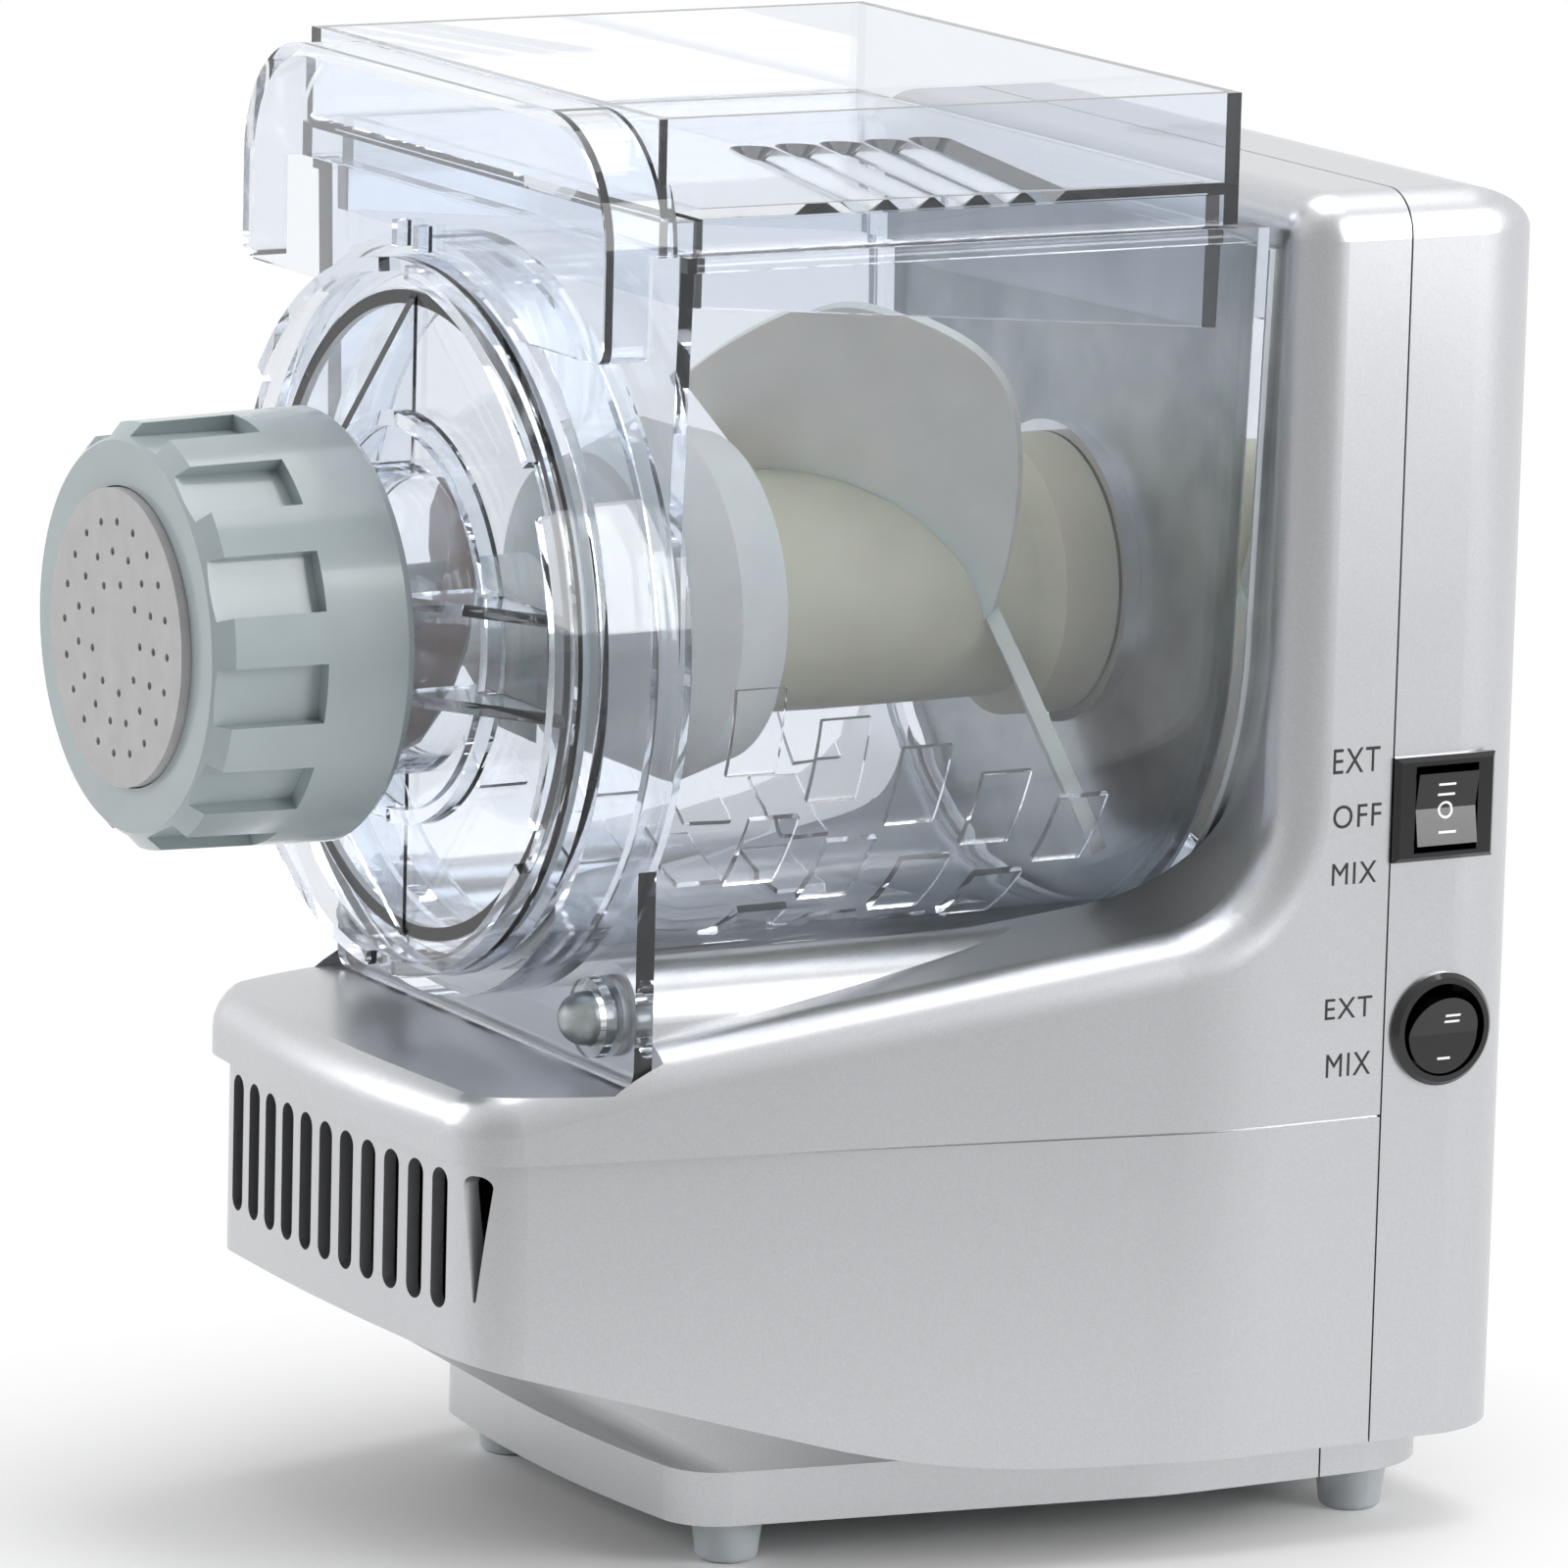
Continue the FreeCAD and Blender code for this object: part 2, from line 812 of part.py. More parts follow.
def lid():
    outer = lid_block(lid_front, lid_rear, 0, chamber_top + free_gap, lid_top)
    tray = lid_block(lid_front + lid_wall, lid_rear - lid_wall, lid_wall, tray_floor
                     + tray_thickness, lid_top + 1)
    under = lid_block(lid_front + lid_wall, lid_rear - lid_wall, lid_wall, 0, tray_floor)
    inset = chamber_wall + skirt_gap
    skirt_front = chamber_front + plate_depth + skirt_gap
    skirt_out = prism_x([(skirt_front, skirt_front_low), (lid_rear - 2, skirt_rear_low),
                         (lid_rear - 2, tray_floor + 1), (skirt_front, tray_floor + 1)],
                        [0] * 4, -200, 200)
    fit = chamber_block(-inset, chamber_front, lid_rear + 10, chamber_top)
    head = box(-chamber_top_half + inset + 0.2, chamber_top_half - inset - 0.2, skirt_front,
               lid_rear - 2, skirt_rear_low - 1, tray_floor + 1)
    skirt = skirt_out.common(head)
    skirt = skirt.common(fit.fuse(box(-200, 200, 0, 300, chamber_top - 0.1, 300)))
    shrink = inset + lid_wall
    core = box(-chamber_top_half + shrink + 0.8, chamber_top_half - shrink - 0.8,
               skirt_front + lid_wall, lid_rear - 2 - lid_wall, 0, tray_floor)
    body = fuse([outer.cut([tray, under]), skirt.cut(core)])
    body = fuse([body, lid_flap()])
    return body.cut(pour_slots())


# Front cover

def gusset(angle, offset):
    points = [(tube_r - 1, gusset_front), (gusset_out, disc_front + 1),
              (tube_r - 1, disc_front + 1)]
    lift = [V(r, at(s), offset - gusset_thickness / 2) for r, s in points]
    face = Part.Face(Part.makePolygon(lift + [lift[0]]))
    rib = face.extrude(V(0, 0, gusset_thickness))
    rib.rotate(V(0, 0, 0), V(0, 1, 0), -angle)
    rib.translate(V(0, 0, axis_height))
    return rib


def front_cover():
    ring = turned([
        (tube_bore_r, tube_front),
        (thread_r, tube_front),
        (thread_r, thread_rear),
        (tube_r, thread_rear + 2),
        (tube_r, disc_front),
        (ring_r - ring_wall, disc_front),
        (ring_r - ring_wall, ring_front),
        (ring_r, ring_front),
        (ring_r, ring_rear),
        (spigot_r, ring_rear),
        (spigot_r, spigot_rear),
        (spigot_r - ring_wall, spigot_rear),
        (spigot_r - ring_wall, disc_front + disc_thickness),
        (tube_bore_r, disc_front + disc_thickness),
    ])
    collar = pipe(tube_collar_r, tube_collar_r - tube_collar_wall, tube_collar_front,
                  disc_front + 1)
    ribs = [gusset(90, 0), gusset(-90, 0)]
    for side in (0, 180):
        ribs += [gusset(side, gusset_offset), gusset(side, -gusset_offset)]
    cover = fuse([ring, collar] + ribs)
    notches = []
    for i in range(notch_count):
        angle = 90 + i * 360 / notch_count
        notches.append(sector(ring_r - ring_wall - 2, ring_r + 2, ring_front - 1,
                              ring_front + notch_depth, angle - notch_angle / 2, notch_angle))
    return cover.cut(notches)


def cover_seal():
    front = disc_front + disc_thickness
    return pipe(spigot_r + 0.0 - ring_wall - free_gap, spigot_r - ring_wall - 3.0,
                front, front + cover_seal_depth)


# Die and nut

def die_disc():
    disc = turned([
        (0, 0), (die_r, 0), (die_r, die_flange_front), (die_flange_r, die_flange_front),
        (die_flange_r, tube_front - free_gap), (die_recess_r, tube_front - free_gap),
        (die_recess_r, die_recess_depth), (0, die_recess_depth),
    ])
    holes = []
    for radius, count in die_rings:
        for i in range(count):
            turn = 2 * math.pi * i / count
            holes.append(rod(die_hole_r, -1, die_recess_depth + 1, radius * math.cos(turn),
                             axis_height + radius * math.sin(turn)))
    return disc.cut(holes)


def die_nut():
    lip_rear = die_flange_front - free_gap
    nut = turned([
        (die_r + free_gap, nut_front), (nut_front_r - nut_round, nut_front),
        (nut_front_r, nut_front + nut_round), (nut_rear_r, nut_rear - 2),
        (nut_rear_r - 1.5, nut_rear), (nut_bore_r, nut_rear), (nut_bore_r, lip_rear),
        (die_r + free_gap, lip_rear),
    ])
    pockets = []
    for i in range(pocket_count):
        angle = pocket_first_angle + i * 360 / pocket_count
        pocket = box(nut_front_r - pocket_depth, nut_rear_r + 5, 0, pocket_rear,
                     -pocket_width / 2, pocket_width / 2)
        pocket.rotate(V(0, 0, 0), V(0, 1, 0), -angle)
        pocket.translate(V(0, 0, axis_height))
        pockets.append(pocket)
    return nut.cut(pockets)


# Paddle

def twisted_blade(r0, outer_radius, s0, s1, angle0, angle1, thickness, steps):
    # A blade on radial lines that turn steadily along the axis.
    sections = []
    for i in range(steps + 1):
        share = i / steps
        s = s0 + (s1 - s0) * share
        angle = math.radians(angle0 + (angle1 - angle0) * share)
        out = V(math.cos(angle), 0, math.sin(angle))
        across = V(-math.sin(angle), 0, math.cos(angle)) * (thickness / 2)
        middle = V(0, at(s), axis_height)
        r1 = outer_radius(share)
        corners = [middle + out * r0 - across, middle + out * r1 - across,
                   middle + out * r1 + across, middle + out * r0 + across]
        sections.append(Part.makePolygon(corners + [corners[0]]))
    return Part.makeLoft(sections, True, True)


def hub_outside(grow):
    flare = hub_rear - hub_rear_length
    return [(hub_r + grow, hub_front), (hub_r + grow, flare - grow),
            (hub_rear_r + grow, flare + hub_flare - grow), (hub_rear_r + grow, hub_rear)]


def paddle_hub():
    bore = shaft_r + running_gap
    return turned([(bore, hub_front)] + hub_outside(0) + [
        (hub_r - hub_wall, hub_rear), (hub_r - hub_wall, hub_front + hub_wall),
        (bore + hub_wall, hub_front + hub_wall), (bore + hub_wall, hub_rear), (bore, hub_rear),
    ])


def flat_blade(normal, root, edge):
    # A flat plate through the waist: straight inside the hub, curved at its free edge.
    across = V(*normal).normalize()
    waist = V(waist_x, waist_station, waist_z)

    def on_plane(x, z):
        station = (across.dot(waist) - across.x * x - across.z * z) / across.y
        return V(x, at(station), axis_height + z)

    free = Part.BSplineCurve()
    free.interpolate([on_plane(x, z) for x, z in edge])
    line = Part.makePolygon([on_plane(x, z) for x, z in [edge[-1]] + root + [edge[0]]])
    face = Part.Face(Part.Wire([free.toShape()] + line.Edges))
    face.translate(across * (-blade_thickness / 2))
    return face.extrude(across * blade_thickness)


def mixing_blades():
    # The front blade leans over the hub and the rear blade sweeps below it.
    front_edge = [
        (-12.8, 42.6), (-4.0, 50.5), (6.0, 57.5), (16.0, 61.8), (25.0, 59.0), (31.5, 55.0),
        (35.5, 50.0), (37.0, 44.0), (36.6, 36.0), (35.0, 27.2), (32.3, 17.5), (28.5, 6.7),
        (waist_x, waist_z),
    ]
    rear_edge = [
        (waist_x, waist_z), (33.5, -13.0), (41.0, -26.0), (45.0, -37.0), (45.0, -45.5),
        (41.0, -48.5), (34.5, -47.0), (27.5, -49.5), (19.5, -49.0), (11.0, -43.0),
        (3.0, -34.0), (-4.5, -24.0),
    ]
    front = flat_blade(front_blade_normal, [(18.0, -9.0), (-3.5, 17.0)], front_edge)
    rear = flat_blade(rear_blade_normal, [(-3.0, -18.0), (18.0, 3.0)], rear_edge)
    reach = rod(blade_r, hub_front, hub_rear - free_gap)
    around_hub = turned([(0, hub_front)] + hub_outside(running_gap) + [(0, hub_rear)])
    return front.fuse(rear).common(reach).cut(around_hub)


def extrusion_screw():
    bore = shaft_r + running_gap
    back = hub_front - running_gap
    cup = turned([
        (bore, back), (bore + hub_wall, back), (bore + hub_wall, screw_cup_front + 16),
        (screw_cup_r - 8, screw_cup_front + 16), (screw_cup_r - hub_wall, back),
        (screw_cup_r, back), (screw_cup_r + screw_swell, back - 12),
        (screw_cup_r - screw_swell, screw_cup_front + 10), (screw_core_r, screw_cup_front),
        (screw_core_r - 2, screw_front + 4), (4, screw_front), (0, screw_front),
        (0, shaft_front - 1), (bore, shaft_front - 1),
    ])
    flight = twisted_blade(screw_core_r - 4, lambda share: screw_r, screw_front + 6,
                           screw_cup_front + 2, 0, 360 * screw_turns, screw_flight, 28)
    return fuse([cup, flight])


# Drive shaft

def drive_shaft():
    return rod(shaft_r, shaft_front, shaft_rear)


# Gears

def gear(teeth, module, width, station, x, z, phase, bore):
    # Involute spur gear. The phase, in teeth, says where the first tooth points.
    pitch_r = teeth * module / 2
    base_r = pitch_r * math.cos(math.radians(20))
    tip_r = pitch_r + module * 0.95
    root_r = pitch_r - module * 1.25
    half_tooth = math.pi / (2 * teeth) - backlash / (2 * pitch_r)
    spread = lambda r: math.sqrt(max((r / base_r) ** 2 - 1, 0)) - math.atan(
        math.sqrt(max((r / base_r) ** 2 - 1, 0)))
    at_pitch = spread(pitch_r)
    start_r = max(base_r, root_r + 0.01)
    radii = [root_r, start_r] if base_r > root_r else [root_r]
    radii += [start_r + (tip_r - start_r) * k / 3 for k in (1, 2, 3)]
    points = []
    for i in range(teeth):
        middle = 2 * math.pi * (i + phase) / teeth
        for r in radii:
            turn = middle - half_tooth - at_pitch + spread(max(r, base_r))
            points.append((r, turn))
        for r in reversed(radii):
            turn = middle + half_tooth + at_pitch - spread(max(r, base_r))
            points.append((r, turn))
    corners = [V(x + r * math.cos(t), at(station), z + r * math.sin(t)) for r, t in points]
    face = Part.Face(Part.makePolygon(corners + [corners[0]]))
    body = face.extrude(V(0, width, 0))
    return body.cut(rod(bore, station - 1, station + width + 1, x, z)) if bore else body


def axle_places():
    reach = (output_teeth + output_pinion_teeth) * output_module / 2
    second_z = axis_height - math.sqrt(reach ** 2 - second_axle_x ** 2)
    reach = (second_teeth + second_pinion_teeth) * second_module / 2
    across = second_axle_x - first_axle_x
    first_z = second_z - math.sqrt(reach ** 2 - across ** 2)
    reach = (first_teeth + motor_pinion_teeth) * first_module / 2
    motor_z = first_z - math.sqrt(reach ** 2 - first_axle_x ** 2)
    return (second_axle_x, second_z), (first_axle_x, first_z), (0.0, motor_z)


second_axle, first_axle, motor_axis = axle_places()


def mesh_phase(driver_teeth, driver_phase, driver, driven_teeth, driven):
    # Sets a tooth gap of the driven gear against a tooth of the driver.
    line = math.atan2(driven[1] - driver[1], driven[0] - driver[0])
    tooth_at = line * driver_teeth / (2 * math.pi) - driver_phase
    back = (line + math.pi) * driven_teeth / (2 * math.pi)
    return back + tooth_at + 0.5


def gears():
    output = (0.0, axis_height)
    shapes = {}
    shapes["output_gear"] = gear(output_teeth, output_module, output_gear_width,
                                 output_gear_front, 0, axis_height, 0, shaft_r)
    phase = mesh_phase(output_teeth, 0, output, output_pinion_teeth, second_axle)
    width = output_gear_width + 2 * pinion_overlap
    pinion = gear(output_pinion_teeth, output_module, width,
                  output_gear_front - pinion_overlap, second_axle[0], second_axle[1], phase,
                  axle_r + running_gap)
    wheel = gear(second_teeth, second_module, second_gear_width, second_gear_front,
                 second_axle[0], second_axle[1], 0, axle_r + running_gap)
    neck = pipe(output_pinion_teeth * output_module / 2 - 2.5, axle_r + running_gap,
                output_gear_front + output_gear_width, second_gear_front + 1,
                second_axle[0], second_axle[1])
    shapes["second_gear"] = fuse([pinion, neck, wheel])
    phase = mesh_phase(second_teeth, 0, second_axle, second_pinion_teeth, first_axle)
    width = second_gear_width + 2 * pinion_overlap
    pinion = gear(second_pinion_teeth, second_module, width,
                  second_gear_front - pinion_overlap, first_axle[0], first_axle[1], phase,
                  axle_r + running_gap)
    wheel = gear(first_teeth, first_module, first_gear_width, first_gear_front,
                 first_axle[0], first_axle[1], 0, axle_r + running_gap)
    neck = pipe(second_pinion_teeth * second_module / 2 - 1.8, axle_r + running_gap,
                second_gear_front + second_gear_width, first_gear_front + 1,
                first_axle[0], first_axle[1])
    shapes["first_gear"] = fuse([pinion, neck, wheel])
    phase = mesh_phase(first_teeth, 0, first_axle, motor_pinion_teeth, motor_axis)
    shapes["motor_pinion"] = gear(motor_pinion_teeth, first_module,
                                  first_gear_width + 2 * pinion_overlap,
                                  first_gear_front - pinion_overlap, motor_axis[0],
                                  motor_axis[1], phase, motor_shaft_r)
    return shapes


# Pieces round the drive shaft

def locating_pins():
    shapes = []
    for x in (-pin_x, pin_x):
        shank = rod(pin_r, pin_tip + pin_r, rail_front + pin_depth - free_gap, x, pin_z)
        tip = Part.makeSphere(pin_r, V(x, at(pin_tip + pin_r), pin_z))
        step = rod(boss_r, chamber_front + plate_depth + free_gap, rail_front, x, pin_z)
        shapes.append(fuse([shank, tip, step]))
    return shapes


def back_plate():
    plate = chamber_block(rear_flange_out, back_plate_front, tower_front, back_plate_top)
    return plate.cut(rod(seal_r, back_plate_front - 1, tower_front + 1))


def chamber_seal():
    front = chamber_rear + free_gap
    outer = chamber_block(rear_flange_out, front, back_plate_front, back_plate_top)
    inner = chamber_block(rear_flange_out - seal_width, front - 1, back_plate_front + 1,
                          back_plate_top + 1)
    return outer.cut(inner)


def hub_ring():
    return pipe(hub_ring_r, hub_ring_r - hub_ring_wall, hub_ring_front, back_plate_front)


def shaft_seal():
    return pipe(seal_r, shaft_r + running_gap, back_plate_front, tower_front + wall)


def shaft_bushes():
    bushes = []
    for s in (gear_plate_front, gear_plate_rear):
        low = s - bush_out
        high = s + gear_plate_thickness + bush_out
        bushes.append(pipe(bush_r, shaft_r + running_gap, low, high))
    return bushes


# Gearbox frame

def post_places():
    return [(x, z) for x in (-post_x, post_x) for z in (post_low_z, post_high_z)]


def pillar_places():
    return [(x, z) for x in (-post_x, post_x) for z in (pillar_low_z, pillar_high_z)]


def gear_plate(station, fixed):
    points = [(-gear_plate_half, gear_plate_low), (gear_plate_half, gear_plate_low),
              (gear_plate_half, gear_plate_high), (-gear_plate_half, gear_plate_high)]
    plate = prism_y(points, [gear_plate_corner_r] * 4, station, station + gear_plate_thickness)
    cutters = [rod(bush_r, station - 1, station + gear_plate_thickness + 1)]
    for x, z in (second_axle, first_axle):
        cutters.append(rod(axle_r, station - 1, station + gear_plate_thickness + 1, x, z))
    if fixed:
        for x, z in post_places():
            cutters.append(rod(screw_r_small + free_gap / 2, station - 1,
                               station + gear_plate_thickness + 1, x, z))
    return plate.cut(cutters)


def gear_pillars():
    return [rod(pillar_r, gear_plate_front + gear_plate_thickness, gear_plate_rear, x, z)
            for x, z in pillar_places()]


def gear_axles():
    return [rod(axle_r, gear_plate_front, gear_plate_rear + gear_plate_thickness, x, z)
            for x, z in (second_axle, first_axle)]


def housing_posts():
    return [rod(post_r, tower_front + wall / 2, gear_plate_front, x, z)
            for x, z in post_places()]


def post_holes():
    return [rod(screw_r_small + running_gap, tower_front + wall, gear_plate_front + 1, x, z)
            for x, z in post_places()]


def gearbox_screws():
    shapes = []
    head_front = gear_plate_front + gear_plate_thickness
    for x, z in post_places():
        head = rod(screw_head_r_small, head_front, head_front + screw_head_small, x, z)
        shank = rod(screw_r_small, tower_front + wall, head_front, x, z)
        shapes.append(fuse([head, shank]))
    return shapes


# Motor

def motor_rod(radius, s0, s1, x=0.0, z=0.0):
    return rod(radius, s0, s1, motor_axis[0] + x, motor_axis[1] + z)


def motor_box(half_x, half_z, s0, s1):
    return box(-half_x, half_x, s0, s1, motor_axis[1] - half_z, motor_axis[1] + half_z)


def tie_places():
    return [(x, z) for x in (-tie_x, tie_x) for z in (-tie_z, tie_z)]


def stator_core():
    rear = stator_front + stator_length
    core = motor_box(stator_half, stator_half_height, stator_front, rear)
    bore = motor_rod(stator_bore_r, stator_front - 1, rear + 1)
    ties = [motor_rod(tie_r + free_gap / 2, stator_front - 1, rear + 1, x, z)
            for x, z in tie_places()]
    return core.cut([bore] + ties)


def field_windings():
    shapes = []
    low = motor_axis[1] - axis_height
    for s0 in (stator_front - winding_depth, stator_front + stator_length):
        for start in (winding_start, winding_start + 180):
            piece = sector(stator_bore_r + air_gap, stator_half_height - air_gap, s0,
                           s0 + winding_depth, start, 180 - 2 * winding_start)
            piece.translate(V(0, 0, low))
            shapes.append(piece)
    return shapes


def armature():
    middle = stator_front + stator_length / 2
    front = middle - armature_length / 2
    rear = middle + armature_length / 2
    core = motor_rod(stator_bore_r - air_gap, front, rear)
    slots = []
    for i in range(armature_slots):
        turn = 2 * math.pi * i / armature_slots
        reach = stator_bore_r - air_gap
        slots.append(motor_rod(armature_slot_r, front - 1, rear + 1, reach * math.cos(turn),
                               reach * math.sin(turn)))
    return core.cut(slots + [motor_rod(motor_shaft_r, front - 1, rear + 1)])


def armature_windings():
    middle = stator_front + stator_length / 2
    shapes = []
    for s0 in (middle - armature_length / 2 - winding_depth, middle + armature_length / 2):
        ring = motor_rod(armature_winding_r, s0, s0 + winding_depth)
        shapes.append(ring.cut(motor_rod(motor_shaft_r, s0 - 1, s0 + winding_depth + 1)))
    return shapes


def commutator():
    rear = commutator_front + commutator_length
    body = motor_rod(commutator_r, commutator_front, rear)
    slots = []
    for i in range(armature_slots):
        slot = box(commutator_r - 1, commutator_r + 1, commutator_front - 1, rear + 1, -0.4, 0.4)
        slot.rotate(V(0, 0, 0), V(0, 1, 0), 360 * (i + 0.5) / armature_slots)
        slot.translate(V(0, 0, motor_axis[1]))
        slots.append(slot)
    return body.cut(slots + [motor_rod(motor_shaft_r, commutator_front - 1, rear + 1)])


def carbon_brushes():
    middle = commutator_front + commutator_length / 2
    brush = box(commutator_r + running_gap, brush_out, middle - brush_half,
                middle + brush_half, motor_axis[1] - brush_half, motor_axis[1] + brush_half)
    return both_sides(brush)


def brush_holders():
    middle = commutator_front + commutator_length / 2
    half = brush_half + holder_wall
    outer = box(commutator_r + 2, brush_out + 2, middle - half, rear_bracket_station,
                motor_axis[1] - half, motor_axis[1] + half)
    inner = box(commutator_r, brush_out, middle - brush_half - running_gap,
                middle + brush_half + running_gap, motor_axis[1] - brush_half - running_gap,
                motor_axis[1] + brush_half + running_gap)
    return both_sides(outer.cut(inner))


def motor_bracket(station):
    plate = motor_box(stator_half, stator_half_height, station, station + bracket_thickness)
    windows = []
    for x in (-bracket_window_x, bracket_window_x):
        windows.append(motor_rod(bracket_window_r, station - 1, station + bracket_thickness + 1, x))
    ties = [motor_rod(tie_r + free_gap / 2, station - 1, station + bracket_thickness + 1, x, z)
            for x, z in tie_places()]
    seat = motor_rod(bearing_r, station - 1, station + bracket_thickness + 1)
    return plate.cut(windows + ties + [seat])


def motor_bearings():
    shapes = []
    for station in (front_bracket_station, rear_bracket_station):
        middle = station + bracket_thickness / 2
        ring = motor_rod(bearing_r, middle - bearing_half, middle + bearing_half)
        hole = motor_rod(motor_shaft_r + running_gap, middle - bearing_half - 1,
                         middle + bearing_half + 1)
        shapes.append(ring.cut(hole))
    return shapes


def motor_ties():
    shapes = []
    rear = rear_bracket_station + bracket_thickness
    for x, z in tie_places():
        shank = motor_rod(tie_r, front_bracket_station - 2, rear, x, z)
        head = motor_rod(2 * tie_r, rear, rear + 2.5, x, z)
        nut = motor_rod(2 * tie_r, front_bracket_station - 3, front_bracket_station, x, z)
        spacer_front = motor_rod(tie_spacer_r, front_bracket_station + bracket_thickness,
                                 stator_front, x, z)
        spacer_rear = motor_rod(tie_spacer_r, stator_front + stator_length,
                                rear_bracket_station, x, z)
        shapes.append(fuse([shank, head, nut, spacer_front, spacer_rear]))
    return shapes


def cooling_fan():
    hub = motor_rod(fan_hub_r, fan_front, fan_front + fan_depth)
    disc = motor_rod(fan_r, fan_front + fan_depth - 1.5, fan_front + fan_depth)
    vanes = []
    for i in range(fan_blades):
        vane = box(fan_hub_r - 1, fan_r, fan_front, fan_front + fan_depth - 1,
                   -fan_vane / 2, fan_vane / 2)
        vane.rotate(V(0, 0, 0), V(0, 1, 0), 360 * i / fan_blades)
        vane.translate(V(0, 0, motor_axis[1]))
        vanes.append(vane)
    body = fuse([hub, disc] + vanes)
    return body.cut(motor_rod(motor_shaft_r, fan_front - 1, fan_front + fan_depth + 1))


def motor_saddles():
    shapes = []
    low = foot_height + plate_thickness
    high = motor_axis[1] - stator_half_height
    for s0 in (stator_front + saddle_in, stator_front + stator_length - saddle_in - saddle_depth):
        shapes.append(box(-saddle_half, saddle_half, s0, s0 + saddle_depth, low, high))
    return shapes


# Electrical pieces on the base plate

def terminal_block():
    low = foot_height + plate_thickness
    body = box(terminal_x, terminal_x + terminal_width, terminal_station,
               terminal_station + terminal_depth, low, low + terminal_height)
    wells = []
    for i in range(terminal_ways):
        x = terminal_x + (i + 0.5) * terminal_width / terminal_ways
        wells.append(Part.makeCylinder(2.2, 6, V(x, at(terminal_station + terminal_depth / 2),
                                                 low + terminal_height - 5)))
    return body.cut(wells)


def capacitor():
    low = foot_height + plate_thickness
    return box(capacitor_x, capacitor_x + capacitor_width, capacitor_station,
               capacitor_station + capacitor_depth, low, low + capacitor_height)


def cord_gland():
    rear = machine_length
    body = pipe(gland_r - 1.5, gland_bore_r, rear - gland_in, rear, gland_x, gland_z)
    flange = pipe(gland_r, gland_bore_r, rear, rear + gland_out, gland_x, gland_z)
    inner = pipe(gland_r, gland_bore_r, rear - gland_in, rear - wall - running_gap,
                 gland_x, gland_z)
    return fuse([body, flange, inner])


# Switches in the right side of the rear cover

def switch_frame():
    half_s = switch_width / 2
    half_z = switch_height / 2
    inner_s = half_s - switch_lip
    inner_z = half_z - switch_lip
    bezel = box(machine_half, machine_half + switch_bezel, switch_station - half_s,
                switch_station + half_s, switch_centre_z - half_z, switch_centre_z + half_z)
    outer = [e for e in bezel.Edges if e.BoundBox.XMin > machine_half + switch_bezel - 1e-3]
    bezel = bezel.makeChamfer(switch_bezel / 2, outer)
    body = box(machine_half - switch_depth, machine_half, switch_station - inner_s,
               switch_station + inner_s, switch_centre_z - inner_z, switch_centre_z + inner_z)
    well_s = rocker_width / 2 + rocker_gap
    well_z = rocker_height / 2 + rocker_swing
    well = box(machine_half - rocker_well, machine_half + 9, switch_station - well_s,
               switch_station + well_s, switch_centre_z - well_z, switch_centre_z + well_z)
    return fuse([bezel, body]).cut(well)


def rocker_profile(height):
    # Seen along the pivot: two faces that meet in a shallow valley.
    pivot_x = machine_half - rocker_pivot_in
    half = height / 2
    return [
        (pivot_x - rocker_root, -half + rocker_taper),
        (machine_half + rocker_out, -half),
        (machine_half + rocker_out - rocker_valley, 0),
        (machine_half + rocker_out, half),
        (pivot_x - rocker_root, half - rocker_taper),
    ]


def switch_rocker():
    points = [(x, switch_centre_z + z) for x, z in rocker_profile(rocker_height)]
    half = rocker_width / 2
    body = prism_y(points, [0] * 5, switch_station - half, switch_station + half)
    pin = rod(rocker_pin_r, switch_station - half - rocker_gap + running_gap,
              switch_station + half + rocker_gap - running_gap,
              machine_half - rocker_pivot_in, switch_centre_z)
    return fuse([body, pin])


def round_along_x(radius, x0, x1):
    return Part.makeCylinder(radius, x1 - x0, V(x0, at(round_station), round_z), V(1, 0, 0))


def round_frame():
    bezel = round_along_x(round_r, machine_half, machine_half + switch_bezel)
    outer = [e for e in bezel.Edges if e.BoundBox.XMin > machine_half + switch_bezel - 1e-3
             and e.BoundBox.XLength < 1e-3]
    bezel = bezel.makeChamfer(switch_bezel / 2, outer)
    body = round_along_x(round_r - switch_lip, machine_half - switch_depth, machine_half)
    well = round_along_x(round_rocker_r + round_swing, machine_half - rocker_well,
                         machine_half + 9)
    return fuse([bezel, body]).cut(well)


def round_rocker():
    points = [(x, round_z + z) for x, z in rocker_profile(2 * round_rocker_r)]
    body = prism_y(points, [0] * 5, round_station - round_rocker_r,
                   round_station + round_rocker_r)
    body = body.common(round_along_x(round_rocker_r, machine_half - rocker_well,
                                     machine_half + 9))
    pin = rod(rocker_pin_r, round_station - round_rocker_r - round_swing + free_gap,
              round_station + round_rocker_r + round_swing - free_gap,
              machine_half - rocker_pivot_in, round_z)
    rocker = fuse([body, pin])
    rocker.rotate(V(machine_half - rocker_pivot_in, 0, round_z), V(0, 1, 0), round_tilt)
    return rocker


def switch_cutouts():
    half_s = switch_width / 2 - switch_lip
    half_z = switch_height / 2 - switch_lip
    square = box(machine_half - switch_depth, machine_half + 1, switch_station - half_s,
                 switch_station + half_s, switch_centre_z - half_z, switch_centre_z + half_z)
    return [square, round_along_x(round_r - switch_lip, machine_half - switch_depth,
                                  machine_half + 1)]


def slab(s0, s1):
    # All that lies between two stations.
    return box(-machine_half - 1, machine_half + 1, s0, s1, -1, tower_top + 1)


# Every piece, saved as its own node

